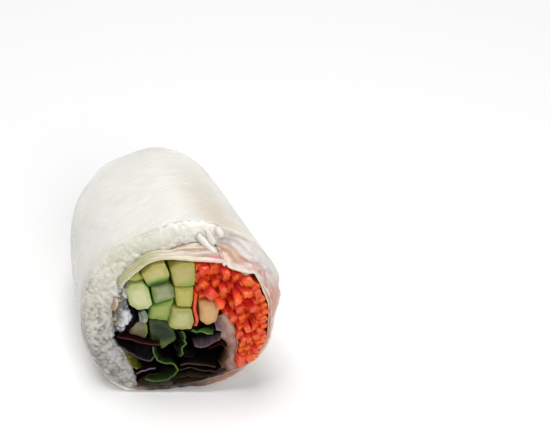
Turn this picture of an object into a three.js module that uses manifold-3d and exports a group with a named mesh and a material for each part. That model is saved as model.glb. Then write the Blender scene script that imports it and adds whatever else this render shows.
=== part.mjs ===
// Half of a rice paper roll, cut across at a slant. One sheet of rice paper is wound around the
// fillings: its inner turn is a sleeve around cucumber batons, shredded carrot and lettuce, then
// comes a crescent of rice noodles, and its outer turn closes over all of it and over the far end.
// Millimetres. The roll lies along Y with its cut end towards -Y and its closed end towards +Y.
import * as THREE from 'three';
import { mergeVertices } from 'three/addons/utils/BufferGeometryUtils.js';
import Module from 'manifold-3d';

const wasm = await Module();
wasm.setup();

// The roll: an irregular round section, about 48 wide and 47 high, that narrows a little towards
// the closed end and rounds off there.
const AXIS_HEIGHT = 22.2;
const BACK_LENGTH = 59.9;
const DOME_LENGTH = 31.2;
const DOME_START = BACK_LENGTH - DOME_LENGTH;
const DOME_WIDTH = 0.903;
const TAPER = (1 - DOME_WIDTH) / DOME_START;
const AXIS_SETTLE = 8;
const DOME_ROUNDNESS = 2.55;
const UNDERSIDE_ROUNDNESS = 3.6;
const END_PLEATS = [
  { angle: 0.35, depth: 0.1 }, { angle: 1.5, depth: 0.08 }, { angle: 2.5, depth: 0.12 },
  { angle: -2.2, depth: 0.09 }, { angle: -0.9, depth: 0.1 },
];
const PLEAT_WIDTH = 0.26;
const DOME_STATIONS = [0.2, 0.38, 0.55, 0.7, 0.82, 0.91, 0.965, 0.99, 0.9985];
const OUTER_OUTLINE = [
  [22.8, 22.2], [23.6, 33.6], [17.0, 43.5], [5.6, 46.9], [-5.0, 44.1], [-14.0, 39.8], [-20.9, 32.3],
  [-23.5, 22.2], [-23.2, 11.4], [-16.6, 1.0], [-5.2, -1.6], [4.7, 0.2], [13.5, 5.0], [19.9, 12.6],
];
const OUTER_SIDES = 44;

// The sheet and the clearance left between separate pieces.
const PAPER = 0.7;
const GAP = 0.3;
const FRONT = -14;

// The outside of the sheet's inner turn. Where it leaves the roll's outline, the two turns lie
// on each other and there are no noodles between them.
const SLEEVE_OUTLINE = [
  [-12.9, -3.0], [-13.2, 4.4], [-14.0, 8.9], [-15.3, 12.2], [-16.8, 15.6], [-16.7, 20.0], [-16.4, 24.0],
  [-15.0, 27.3], [-13.6, 30.0], [-13.3, 33.2], [-11.2, 35.8], [-8.8, 38.0], [-6.2, 40.2], [-2.4, 41.0],
  [4.5, 40.1], [10.5, 39.2], [13.6, 37.6], [16.9, 36.9], [19.2, 34.0], [21.4, 31.6], [26.0, 30.0],
  [28.0, 18.0], [22.0, 0.0], [8.0, -5.0],
];
const SLEEVE_END = 46;
const FILLING_END = SLEEVE_END - PAPER - GAP;

// The inside of the sleeve, which holds the fillings. On the right and underneath the turns
// of the sheet are pressed into one thick wall between this and the outside.
const CAVITY_OUTLINE = [
  [-12.0, 1.1], [-12.5, 4.5], [-13.3, 9.1], [-14.7, 12.6], [-16.1, 15.8], [-16.0, 20.0], [-15.7, 23.8],
  [-14.4, 27.0], [-12.9, 29.9], [-12.6, 32.9], [-10.7, 35.3], [-8.3, 37.5], [-5.9, 39.5], [-2.4, 40.3],
  [4.4, 39.4], [10.3, 38.5], [13.0, 37.0], [15.3, 34.9], [16.9, 35.5], [18.6, 32.2], [19.8, 29.1],
  [20.7, 24.0], [20.6, 17.2], [18.5, 11.9], [14.8, 7.5], [12.2, 5.9], [8.0, 3.4], [2.5, 1.3], [-4.0, 0.8],
];

// The sheet starts as a flap that stands up from the underside between carrot and lettuce.
const FLAP_PATH = [[8.1, 20.0], [9.3, 17.6], [10.8, 13.8], [11.2, 10.0], [10.3, 6.6], [8.2, 2.9]];

// Two knife planes, y = offset + x * side + z * lean. The sleeve and its firm fillings stand
// proud of the noodles towards the top.
const NOODLE_CUT = { side: -0.313, lean: 0.24, offset: -5.33 };
const FILLING_CUT = { side: -0.313, lean: 0.11, offset: -4.29 };

// Cucumber batons, each with how far its end stands proud of the filling cut.
const CUCUMBERS = [
  { proud: 0.4, corners: [[-8.0, 36.1], [-5.4, 38.8], [-2.6, 39.3], [-1.8, 36.3], [-2.2, 34.1], [-6.8, 32.7]] },
  { proud: 0.2, corners: [[-1.4, 37.7], [0.5, 38.9], [4.1, 38.9], [4.1, 35.4], [3.6, 32.3], [-0.8, 32.4]] },
  { proud: -0.4, corners: [[-12.0, 33.0], [-8.6, 35.6], [-7.4, 33.4], [-10.5, 32.0]] },
  { proud: 0.5, corners: [[-10.9, 31.3], [-7.8, 32.2], [-6.9, 31.2], [-6.0, 27.2], [-7.2, 25.9], [-9.9, 25.6]] },
  { proud: -1.8, corners: [[-6.0, 31.3], [-1.9, 32.4], [-1.35, 31.2], [-1.35, 28.4], [-4.8, 26.8]] },
  { proud: 0.1, corners: [[-0.75, 31.9], [3.4, 31.8], [2.9, 28.3], [2.4, 26.0], [-0.35, 26.3]] },
  { proud: -0.7, corners: [[-6.9, 25.0], [-5.6, 26.2], [-1.4, 27.7], [-2.1, 25.7], [-2.6, 22.7], [-7.3, 23.1]] },
  { proud: 0.6, corners: [[-1.7, 25.3], [2.3, 25.3], [2.7, 21.8], [1.9, 19.6], [-1.6, 19.5], [-3.0, 20.3]] },
  { proud: 0.3, corners: [[4.4, 27.4], [8.2, 27.4], [8.7, 24.6], [7.8, 21.4], [5.7, 20.4], [4.3, 21.8]] },
  { proud: -2.6, corners: [[-10.9, 20.2], [-8.1, 19.9], [-7.9, 16.3], [-8.7, 13.8], [-12.8, 16.3]] },
  { proud: -2.4, corners: [[-7.2, 20.5], [-3.4, 20.0], [-1.7, 17.3], [-1.1, 14.0], [-4.9, 10.9], [-7.4, 13.8]] },
];
const CORNER_CUT = 0.16;

// Carrot shreds fill a crescent on the right; one shred lies on its own between the batons.
const CARROT_OUTLINE = [
  [4.7, 38.4], [10.0, 37.7], [12.1, 36.4], [15.2, 34.3], [16.7, 34.9], [18.2, 32.0], [19.4, 29.0],
  [20.3, 24.0], [20.2, 17.3], [18.2, 12.2], [14.6, 7.9], [12.8, 6.8], [11.9, 8.2], [12.0, 10.0],
  [12.5, 12.4], [12.8, 15.7], [12.4, 19.0], [11.4, 21.0], [9.2, 21.4], [9.2, 25.0], [8.6, 28.0],
  [4.6, 28.2], [4.5, 31.6],
];
const SHRED_SIZE = 1.9;
const SHRED_COUNT = 46;
const SHRED_SPACING = 2.3;
const SHRED_RECESS = 2.0;
const SHRED_END_LENGTH = 6;
const LONE_SHRED_PATH = [[3.8, 29.8], [3.45, 27.5], [3.2, 25.3], [3.5, 22.0], [3.0, 20.2]];
const LONE_SHRED_WIDTH = 0.75;

// Lettuce fills the bottom and runs up on the left as one folded leaf.
const LETTUCE_OUTLINE = [
  [-15.3, 15.4], [-14.4, 12.9], [-12.9, 11.2], [-12.4, 8.5], [-11.7, 6.0], [-11.2, 3.6], [-10.2, 1.4],
  [-4.0, 1.3], [2.5, 1.8], [7.2, 3.6], [9.4, 6.8], [10.1, 10.0], [9.6, 13.8], [8.0, 17.4], [6.8, 19.3],
  [4.2, 19.0], [2.6, 18.6], [-0.6, 18.6], [-0.4, 13.6], [-1.8, 12.4], [-4.9, 10.0], [-6.6, 12.2],
  [-8.4, 12.9], [-13.4, 15.6], [-11.4, 19.6], [-9.2, 21.0], [-8.8, 23.3], [-9.6, 25.0], [-10.7, 25.0],
  [-11.2, 23.0], [-12.2, 20.0], [-13.8, 17.5],
];
const LETTUCE_RECESS = 3.2;
const LEAF_THICKNESS = 0.75;
const LEAF_WAVE = 0.35;
const LEAF_PATHS = [
  [[-15.0, 15.2], [-12.5, 13.5], [-9.6, 12.2], [-7.4, 11.4]],
  [[-11.4, 9.9], [-9.3, 8.9], [-8.0, 9.5], [-7.8, 11.6]],
  [[-6.4, 11.4], [-6.4, 9.4], [-4.6, 8.2], [-2.7, 7.2], [-2.9, 5.0], [-4.6, 3.6], [-9.6, 3.3]],
  [[-12.2, 9.3], [-11.4, 7.2], [-9.9, 6.3], [-8.0, 6.0]],
  [[0.3, 17.6], [0.9, 14.8], [-0.2, 12.4], [-0.6, 9.6]],
  [[0.2, 6.9], [3.0, 6.4], [6.2, 5.6], [8.4, 6.6]],
  [[2.6, 13.4], [5.5, 14.6], [8.0, 15.4], [9.2, 13.0], [9.0, 9.6]],
  [[3.3, 18.0], [5.0, 17.2], [7.0, 18.3]],
];

// Rice noodles: a crescent whose cut ends stand out of the knife's plane.
const NOODLE_RADIUS = 0.65;
const NOODLE_SIDES = 5;
const NOODLE_COUNT = 190;
const NOODLE_SPACING = 1.5;
const NOODLE_RECESS = 0.9;
const NOODLE_END_LENGTH = 3.4;
const CLUMP_OUTLINE = [
  [-15.3, 18.2], [-15.3, 21.0], [-14.9, 24.0], [-13.6, 26.3], [-12.3, 26.8], [-11.6, 25.5],
  [-11.7, 23.2], [-12.7, 20.3], [-14.2, 18.2],
];
const CLUMP_COUNT = 16;
const CLUMP_RECESS = 1.2;

// Seeded random numbers, so that every build is the same.
function randomSource(seed) {
  let state = seed;
  return () => {
    state = (state + 0x6d2b79f5) | 0;
    let mixed = Math.imul(state ^ (state >>> 15), 1 | state);
    mixed = (mixed + Math.imul(mixed ^ (mixed >>> 7), 61 | mixed)) ^ mixed;
    return ((mixed ^ (mixed >>> 14)) >>> 0) / 4294967296;
  };
}

// Outlines are lists of Vector2 across the roll, x to the right and y up, counter-clockwise.
function outlineOf(points) {
  const outline = points.map(([x, z]) => new THREE.Vector2(x, z));
  return THREE.ShapeUtils.isClockWise(outline) ? outline.reverse() : outline;
}

function smoothOutline(points, count) {
  const knots = points.map(([x, z]) => new THREE.Vector3(x, z, 0));
  const curve = new THREE.CatmullRomCurve3(knots, true, 'centripetal');
  return outlineOf(curve.getSpacedPoints(count).slice(0, count).map((p) => [p.x, p.y]));
}

function bevelled(points) {
  const corners = outlineOf(points);
  return corners.flatMap((corner, i) => {
    const before = corners[(i + corners.length - 1) % corners.length];
    const after = corners[(i + 1) % corners.length];
    return [corner.clone().lerp(before, CORNER_CUT), corner.clone().lerp(after, CORNER_CUT)];
  });
}

// Moves every side of an outline outwards by a distance, or inwards where it is negative.
function grow(outline, distance) {
  return outline.map((point, i) => {
    const before = outline[(i + outline.length - 1) % outline.length];
    const after = outline[(i + 1) % outline.length];
    const first = point.clone().sub(before).normalize();
    const second = after.clone().sub(point).normalize();
    const normal = new THREE.Vector2(first.y + second.y, -first.x - second.x).normalize();
    const spread = Math.max(0.5, normal.x * first.y - normal.y * first.x);
    return point.clone().addScaledVector(normal, distance / spread);
  });
}

function holds(outline, x, z) {
  let inside = false;
  for (let i = 0, j = outline.length - 1; i < outline.length; j = i, i += 1) {
    const a = outline[i];
    const b = outline[j];
    if (a.y > z !== b.y > z && x < a.x + ((b.x - a.x) * (z - a.y)) / (b.y - a.y)) {
      inside = !inside;
    }
  }
  return inside;
}

// A band of even width along an open path, as a closed outline.
function bandOutline(path, width, samples, wave = () => 0) {
  const knots = path.map(([x, z]) => new THREE.Vector3(x, z, 0));
  const curve = new THREE.CatmullRomCurve3(knots, false, 'centripetal');
  const sides = [-1, 1].map((side) => {
    const edge = [];
    for (let i = 0; i <= samples; i += 1) {
      const point = curve.getPointAt(i / samples);
      const along = curve.getTangentAt(i / samples);
      const shift = (side * width) / 2 + wave(i / samples);
      edge.push([point.x + along.y * shift, point.y - along.x * shift]);
    }
    return edge;
  });
  return [...sides[0], ...sides[1].reverse()];
}

// How far the pleats of the tucked-in end draw a point of the section inwards, as a share.
function pleatShare(angle) {
  return END_PLEATS.reduce((share, pleat) => {
    const turn = Math.atan2(Math.sin(angle - pleat.angle), Math.cos(angle - pleat.angle));
    return share + pleat.depth * Math.exp(-((turn / PLEAT_WIDTH) ** 2));
  }, 0);
}

// Where a point of the section lies at a distance y along the roll. An inset moves the closed
// end in as well, so a wall keeps its thickness there. The underside stays full for longer.
function place(point, y, inset) {
  const share = 1 - TAPER * y;
  if (y <= DOME_START) {
    return new THREE.Vector3(point.x * share, y, point.y * share);
  }
  const past = y - DOME_START;
  const along = past / (DOME_LENGTH - inset);
  const rise = point.y - AXIS_HEIGHT;
  const drawn = share * (1 - along ** 2 * pleatShare(Math.atan2(rise, point.x)));
  const upper = drawn * (1 - along ** DOME_ROUNDNESS) ** (1 / DOME_ROUNDNESS);
  const lower = drawn * (1 - along ** UNDERSIDE_ROUNDNESS) ** (1 / UNDERSIDE_ROUNDNESS);
  const middle = AXIS_HEIGHT * (DOME_WIDTH - TAPER * AXIS_SETTLE * (1 - Math.exp(-past / AXIS_SETTLE)));
  return new THREE.Vector3(point.x * upper, y, middle + rise * (rise > 0 ? upper : lower));
}

// Distances along the roll at which a loft has a ring, closer together near the closed end.
function stationsTo(end, inset) {
  const dome = DOME_STATIONS.map((share) => DOME_START + share * (DOME_LENGTH - inset));
  const tip = dome[dome.length - 1];
  return end > tip ? [FRONT, DOME_START, ...dome] : [FRONT, DOME_START, ...dome.filter((y) => y < end - 1), end];
}

// A closed solid through rings of equal length, from the front to the back.
function skin(rings, outline) {
  const count = outline.length;
  const positions = rings.flat().flatMap((p) => [p.x, p.y, p.z]);
  const index = [];
  for (let ring = 0; ring < rings.length - 1; ring += 1) {
    for (let i = 0; i < count; i += 1) {
      const a = ring * count + i;
      const b = ring * count + ((i + 1) % count);
      index.push(a, a + count, b, b, a + count, b + count);
    }
  }
  const last = (rings.length - 1) * count;
  for (const [a, b, c] of THREE.ShapeUtils.triangulateShape(outline, [])) {
    const turned = outline[b].clone().sub(outline[a]).cross(outline[c].clone().sub(outline[a])) < 0;
    const [first, second] = turned ? [c, b] : [b, c];
    index.push(a, first, second, last + a, last + second, last + first);
  }
  const geometry = new THREE.BufferGeometry();
  geometry.setAttribute('position', new THREE.Float32BufferAttribute(positions, 3));
  geometry.setIndex(index);
  return geometry;
}

function solidOf(geometry) {
  const bare = geometry.clone();
  bare.deleteAttribute('normal');
  bare.deleteAttribute('uv');
  const merged = mergeVertices(bare, 1e-5);
  return new wasm.Manifold(new wasm.Mesh({
    numProp: 3,
    vertProperties: new Float32Array(merged.attributes.position.array),
    triVerts: new Uint32Array(merged.index.array),
  }));
}

function loft(outline, end = FILLING_END, inset = 0) {
  const rings = stationsTo(end, inset).map((y) => outline.map((point) => place(point, y, inset)));
  return solidOf(skin(rings, outline));
}

// All that lies behind a knife plane, moved towards -Y by a distance.
function behind(cut, proud = 0) {
  const block = new THREE.BoxGeometry(160, 160, 160);
  block.translate(0, 80, 0);
  block.applyMatrix4(new THREE.Matrix4().set(
    1, 0, 0, 0,
    cut.side, 1, cut.lean, cut.offset - proud,
    0, 0, 1, 0,
    0, 0, 0, 1,
  ));
  return solidOf(block);
}

function cutDepth(cut, x, z) {
  return cut.offset + cut.side * x + cut.lean * z;
}

// Seeded spots inside a region, no two nearer than a spacing.
function scatter(random, region, isFree, count, spacing) {
  const box = new THREE.Box2().setFromPoints(region);
  const spots = [];
  for (let attempt = 0; attempt < 6000 && spots.length < count; attempt += 1) {
    const x = THREE.MathUtils.lerp(box.min.x, box.max.x, random());
    const z = THREE.MathUtils.lerp(box.min.y, box.max.y, random());
    const crowded = spots.some((spot) => Math.hypot(spot.x - x, spot.y - z) < spacing);
    if (!crowded && isFree(x, z)) {
      spots.push(new THREE.Vector2(x, z));
    }
  }
  return spots;
}

// A short end of a strand or shred, from a root behind the knife plane to a tip before it.
function strandEnd(geometry, spot, cut, length, root, lean, turn) {
  const piece = geometry.clone();
  piece.translate(0, -length / 2, 0);
  piece.rotateY(turn);
  piece.rotateX(lean.y);
  piece.rotateZ(lean.x);
  piece.translate(spot.x, cutDepth(cut, spot.x, spot.y) + root, spot.y);
  return solidOf(piece);
}

function joined(solids) {
  return wasm.Manifold.union(solids);
}

const group = new THREE.Group();

function addNode(name, solid, material) {
  const { numProp, vertProperties, triVerts } = solid.getMesh();
  const positions = [];
  for (let i = 0; i < vertProperties.length; i += numProp) {
    positions.push(vertProperties[i], vertProperties[i + 1], vertProperties[i + 2]);
  }
  const geometry = new THREE.BufferGeometry();
  geometry.setAttribute('position', new THREE.Float32BufferAttribute(positions, 3));
  geometry.setIndex([...triVerts]);
  geometry.computeVertexNormals();
  const mesh = new THREE.Mesh(geometry, material);
  mesh.name = name;
  group.add(mesh);
}

function finish(color, roughness) {
  return new THREE.MeshStandardMaterial({ color, roughness, metalness: 0 });
}

// ---- Rice paper: outer turn, closed end, inner sleeve and starting flap ------------------
const outerOutline = smoothOutline(OUTER_OUTLINE, OUTER_SIDES)
  .map((point) => new THREE.Vector2(point.x, Math.max(0, point.y)));
const sleeveOutline = outlineOf(SLEEVE_OUTLINE);
const packing = loft(grow(outerOutline, -PAPER), BACK_LENGTH, PAPER);
const midWall = loft(grow(outerOutline, -PAPER / 2), BACK_LENGTH, PAPER / 2);
const outerTurn = loft(outerOutline, BACK_LENGTH).subtract(packing).intersect(behind(NOODLE_CUT));
const flap = loft(outlineOf(bandOutline(FLAP_PATH, PAPER, 6)), SLEEVE_END - PAPER / 2);
const cavityOutline = outlineOf(CAVITY_OUTLINE);
const cavity = loft(cavityOutline, SLEEVE_END - PAPER);
const thickWall = loft(grow(sleeveOutline, -PAPER / 4), SLEEVE_END - PAPER / 4)
  .intersect(behind(NOODLE_CUT));
const sleeve = loft(grow(cavityOutline, PAPER), SLEEVE_END).intersect(behind(FILLING_CUT));
const innerTurn = joined([thickWall, sleeve])
  .subtract(cavity)
  .add(flap.intersect(behind(FILLING_CUT)))
  .intersect(midWall);
addNode('rice_paper', joined([outerTurn, innerTurn]), finish(0xece9df, 0.35));

// ---- The room that the contents may fill ---------------------------------------------------
const loosePacking = loft(grow(outerOutline, -PAPER - GAP), BACK_LENGTH, PAPER + GAP);
const noodleRoom = loosePacking
  .subtract(loft(grow(sleeveOutline, GAP), SLEEVE_END + GAP))
  .subtract(loft(grow(cavityOutline, PAPER + GAP), SLEEVE_END + GAP));
const fillingRoom = loft(grow(cavityOutline, -GAP))
  .subtract(loft(outlineOf(bandOutline(FLAP_PATH, PAPER + 2 * GAP, 6)), SLEEVE_END));

// ---- Noodles -------------------------------------------------------------------------------
const noodleEnd = new THREE.CylinderGeometry(
  NOODLE_RADIUS, NOODLE_RADIUS * 0.85, NOODLE_END_LENGTH, NOODLE_SIDES,
);
const noodleRandom = randomSource(7);

function noodleEnds(cut, recess, region, isFree, count) {
  return scatter(noodleRandom, region, isFree, count, NOODLE_SPACING).map((spot) => {
    const lean = new THREE.Vector2(0.5 * (noodleRandom() - 0.5), 0.5 * (noodleRandom() - 0.5));
    const root = recess + 1.1 + 0.8 * noodleRandom();
    return strandEnd(noodleEnd, spot, cut, NOODLE_END_LENGTH, root, lean, 6 * noodleRandom());
  });
}

const noodleBand = grow(outerOutline, -PAPER - GAP - NOODLE_RADIUS);
const sleeveMargin = grow(sleeveOutline, GAP + NOODLE_RADIUS);
const isNoodle = (x, z) => holds(noodleBand, x, z) && !holds(sleeveMargin, x, z);
const noodleTips = noodleEnds(NOODLE_CUT, NOODLE_RECESS, noodleBand, isNoodle, NOODLE_COUNT);
const noodles = joined([behind(NOODLE_CUT, -NOODLE_RECESS), ...noodleTips]).intersect(noodleRoom);
addNode('noodles', noodles, finish(0xe6e6dd, 0.5));

const clumpOutline = outlineOf(CLUMP_OUTLINE);
const isClump = (x, z) => holds(clumpOutline, x, z);
const clumpTips = noodleEnds(FILLING_CUT, CLUMP_RECESS, clumpOutline, isClump, CLUMP_COUNT);
const clump = joined([behind(FILLING_CUT, -CLUMP_RECESS), ...clumpTips])
  .intersect(loft(clumpOutline))
  .intersect(fillingRoom);
addNode('noodle_clump', clump, finish(0xc9cdd0, 0.4));

// ---- Cucumber ------------------------------------------------------------------------------
const cucumberGreen = finish(0xb9c47a, 0.35);
const cucumberOutlines = CUCUMBERS.map(({ corners }) => bevelled(corners));
CUCUMBERS.forEach(({ proud }, i) => {
  const baton = loft(cucumberOutlines[i]).intersect(fillingRoom).intersect(behind(FILLING_CUT, proud));
  addNode(`cucumber_${i + 1}`, baton, cucumberGreen);
});
const batonRoom = joined(cucumberOutlines.map((outline) => loft(grow(outline, GAP), SLEEVE_END)));

// ---- Carrot --------------------------------------------------------------------------------
const carrotOrange = finish(0xf0541e, 0.4);
const carrotOutline = outlineOf(CARROT_OUTLINE);
const shred = new THREE.BoxGeometry(SHRED_SIZE, SHRED_END_LENGTH, SHRED_SIZE);
const shredRandom = randomSource(19);
const isShred = (x, z) => holds(grow(carrotOutline, -SHRED_SIZE / 2), x, z);
const shredTips = scatter(shredRandom, carrotOutline, isShred, SHRED_COUNT, SHRED_SPACING).map((spot) => {
  const lean = new THREE.Vector2(0.5 * (shredRandom() - 0.5), 0.5 * (shredRandom() - 0.5));
  const root = SHRED_RECESS + 2.0 + 2.2 * shredRandom();
  return strandEnd(shred, spot, FILLING_CUT, SHRED_END_LENGTH, root, lean, 3 * shredRandom());
});
const carrots = joined([behind(FILLING_CUT, -SHRED_RECESS), ...shredTips])
  .intersect(loft(carrotOutline))
  .intersect(fillingRoom)
  .subtract(batonRoom);
addNode('carrot_shreds', carrots, carrotOrange);
const loneShred = loft(outlineOf(bandOutline(LONE_SHRED_PATH, LONE_SHRED_WIDTH, 4)))
  .intersect(behind(FILLING_CUT, 0.2))
  .subtract(batonRoom);
addNode('carrot_lone_shred', loneShred, carrotOrange);

// ---- Lettuce -------------------------------------------------------------------------------
const lettuceOutline = outlineOf(LETTUCE_OUTLINE);
const leafRandom = randomSource(5);
const leaves = LEAF_PATHS.map((path) => {
  const phase = 6 * leafRandom();
  const reach = 0.4 + 1.4 * leafRandom();
  const rings = [-reach, 1.6, LETTUCE_RECESS + 1.2].map((depth, ring) => {
    const wave = (t) => LEAF_WAVE * Math.sin(phase + 11 * t + 1.1 * ring);
    const outline = outlineOf(bandOutline(path, LEAF_THICKNESS, 9, wave));
    return { outline, depth };
  });
  const points = rings.map(({ outline, depth }) => outline.map(
    (p) => new THREE.Vector3(p.x, cutDepth(FILLING_CUT, p.x, p.y) + depth, p.y),
  ));
  return solidOf(skin(points, rings[0].outline));
});
const lettuce = joined([behind(FILLING_CUT, -LETTUCE_RECESS), ...leaves])
  .intersect(loft(lettuceOutline))
  .intersect(fillingRoom)
  .subtract(batonRoom);
addNode('lettuce', lettuce, finish(0x2c3a1c, 0.55));

// The origin is under the middle of the roll, on the surface that it lies on.
const box = new THREE.Box3().setFromObject(group);
group.position.set(-(box.min.x + box.max.x) / 2, -(box.min.y + box.max.y) / 2, -box.min.z);

export default group;
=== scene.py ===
"""Half of a rice paper roll, cut across at a slant, on a pale floor.

Shapes are worked out in millimetres in the roll's own frame: x to the right, y along the roll from
the cut to the closed end, z up. make_piece() moves them to the model's frame, in metres.
"""

import math
from types import SimpleNamespace

import bpy
import numpy as np
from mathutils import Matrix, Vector


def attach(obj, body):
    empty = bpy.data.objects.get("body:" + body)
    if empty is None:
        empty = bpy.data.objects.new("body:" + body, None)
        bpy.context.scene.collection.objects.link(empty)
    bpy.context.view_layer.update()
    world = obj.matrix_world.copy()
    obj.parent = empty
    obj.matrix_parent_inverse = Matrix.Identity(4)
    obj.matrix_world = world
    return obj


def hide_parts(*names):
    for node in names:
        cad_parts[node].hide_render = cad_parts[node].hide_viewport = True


bl_info = {
    "name": "Rice paper roll half",
    "version": (1, 0, 0),
    "blender": (4, 5, 0),
    "location": "3D View > Sidebar > Rice paper roll",
    "description": "Builds a cut rice paper roll with noodles, cucumber, carrot and lettuce",
    "category": "Object",
}

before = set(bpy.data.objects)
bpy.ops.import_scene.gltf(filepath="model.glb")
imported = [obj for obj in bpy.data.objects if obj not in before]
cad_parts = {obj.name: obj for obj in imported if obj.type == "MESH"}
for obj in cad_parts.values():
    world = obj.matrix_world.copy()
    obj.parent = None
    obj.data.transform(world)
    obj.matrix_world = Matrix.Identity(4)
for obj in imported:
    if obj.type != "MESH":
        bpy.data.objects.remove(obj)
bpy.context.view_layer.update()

MM = 0.001
ROLL_ORIGIN = np.array([-0.4816, -25.0075, 0.0])


# ---- The roll's driving dimensions, as in the solid model ----
AXIS_HEIGHT = 22.2
BACK_LENGTH = 59.9
# The closed end: its length, how wide it is where it starts, and how square its shoulders are.
DOME_LENGTH = 31.2
DOME_START = BACK_LENGTH - DOME_LENGTH
DOME_WIDTH = 0.903
DOME_ROUNDNESS = 2.55
UNDERSIDE_ROUNDNESS = 3.6
TAPER = (1 - DOME_WIDTH) / DOME_START
AXIS_SETTLE = 8.0   # over this length the falling axis levels out in the closed end
# Pleats of the closed end: angle and depth, and the half width of each in radians.
END_PLEATS = ((0.35, 0.1), (1.5, 0.08), (2.5, 0.12), (-2.2, 0.09), (-0.9, 0.1))
PLEAT_WIDTH = 0.26
FILLING_END = 45.0
# Knife planes: how far along the roll each starts, and how it goes on to the side and upwards.
NOODLE_CUT = (-5.33, -0.313, 0.24)
FILLING_CUT = (-4.29, -0.313, 0.11)

# Sections of the roll, in x and z: its outside, the outside of the inner turn, and its inside.
OUTER_OUTLINE = (
    (22.8, 22.2), (23.6, 33.6), (17, 43.5), (5.6, 46.9), (-5, 44.1), (-14, 39.8), (-20.9, 32.3),
    (-23.5, 22.2), (-23.2, 11.4), (-16.6, 1), (-5.2, -1.6), (4.7, 0.2), (13.5, 5), (19.9, 12.6),
)
SLEEVE_OUTLINE = (
    (-12.9, -3), (-13.2, 4.4), (-14, 8.9), (-15.3, 12.2), (-16.8, 15.6), (-16.7, 20), (-16.4, 24),
    (-15, 27.3), (-13.6, 30), (-13.3, 33.2), (-11.2, 35.8), (-8.8, 38), (-6.2, 40.2), (-2.4, 41),
    (4.5, 40.1), (10.5, 39.2), (13.6, 37.6), (16.9, 36.9), (19.2, 34), (21.4, 31.6), (26, 30), (28, 18),
    (22, 0), (8, -5),
)
CAVITY_OUTLINE = (
    (-12, 1.1), (-12.5, 4.5), (-13.3, 9.1), (-14.7, 12.6), (-16.1, 15.8), (-16, 20), (-15.7, 23.8),
    (-14.4, 27), (-12.9, 29.9), (-12.6, 32.9), (-10.7, 35.3), (-8.3, 37.5), (-5.9, 39.5), (-2.4, 40.3),
    (4.4, 39.4), (10.3, 38.5), (13, 37), (15.3, 34.9), (16.9, 35.5), (18.6, 32.2), (19.8, 29.1),
    (20.7, 24), (20.6, 17.2), (18.5, 11.9), (14.8, 7.5), (12.2, 5.9), (8, 3.4), (2.5, 1.3), (-4, 0.8),
)

# Cucumber batons: how far the end stands proud, the way the skin faces in degrees, how far across
# the face the skin's green starts (1 at its own side), how deep it is, the flesh, and the corners.
CUCUMBERS = (
    (0.4, -72, -0.1, 1, "cream", ((-8, 36.1), (-5.4, 38.8), (-2.6, 39.3), (-1.8, 36.3), (-2.2, 34.1),
     (-6.8, 32.7))),
    (0.2, -60, 0.1, 0.6, "ivory", ((-1.4, 37.7), (0.5, 38.9), (4.1, 38.9), (4.1, 35.4), (3.6, 32.3),
     (-0.8, 32.4))),
    (-0.4, 120, -1, 0.3, "olive", ((-11.7, 34.4), (-8.9, 36.4), (-7.6, 34.7), (-9.7, 33.9))),
    (0.5, 20, 0.55, 0.35, "pale", ((-11.9, 31.4), (-11.1, 33.1), (-7.9, 33.5), (-6.9, 32), (-6.5, 27.5),
     (-7.6, 26), (-10.1, 25.9), (-11.7, 27.5))),
    (-0.5, 180, 0.6, 0.5, "shaded", ((-6.1, 31.8), (-2.2, 32.9), (-1, 31.6), (-0.95, 28.4), (-5.4, 26.8),
     (-5.9, 27.6))),
    (0.1, 200, 0.6, 0.2, "yellow", ((-0.8, 31.9), (3.4, 31.8), (3, 28.3), (2.5, 26), (-0.7, 26.3))),
    (-0.7, 70, 0, 0.35, "green", ((-7.7, 22.6), (-6.6, 25.7), (-5.5, 26.2), (-1.2, 27.7), (-1.5, 26.8),
     (-2.5, 23), (-3.2, 21.4), (-7, 22.1))),
    (0.6, 200, 0.6, 0.25, "mellow", ((-1.8, 25.5), (2.4, 25.4), (2.7, 21.8), (1.9, 19.6), (-1.6, 19.5),
     (-3, 20.4))),
    (0.3, -60, 0.7, 0.15, "peach", ((4.4, 27.4), (8.2, 27.4), (8.7, 24.6), (7.8, 21.4), (5.7, 20.4),
     (4.3, 21.8))),
    (-2.6, 0, 0.4, 0.4, "brown", ((-10.9, 20.3), (-9, 21), (-7.9, 18.6), (-7.9, 15.8), (-8.6, 14.4),
     (-12.5, 15.6), (-12.1, 17.8))),
    (-2.4, -75, 0.1, 0.28, "dark", ((-7.2, 20.5), (-3.4, 20), (-1.7, 17.3), (-1.1, 14), (-4.9, 10.9),
     (-7.4, 13.8))),
)
CORNER_CUT = 0.15   # of each side of a baton that its rounded corners take up

CARROT_OUTLINE = (
    (4.7, 38.4), (10, 37.7), (12.1, 36.4), (15.2, 34.3), (16.7, 34.9), (18.2, 32), (19.4, 29), (20.3, 24),
    (20.2, 17.3), (18.4, 12.2), (15.6, 8.4), (14.4, 7.7), (13.5, 9), (13.5, 10.6), (13.7, 12.6),
    (13.9, 15.7), (13.4, 19), (12.4, 22), (9.8, 23.2), (9.2, 25), (8.6, 28), (4.6, 28.2), (4.5, 31.6),
)
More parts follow.
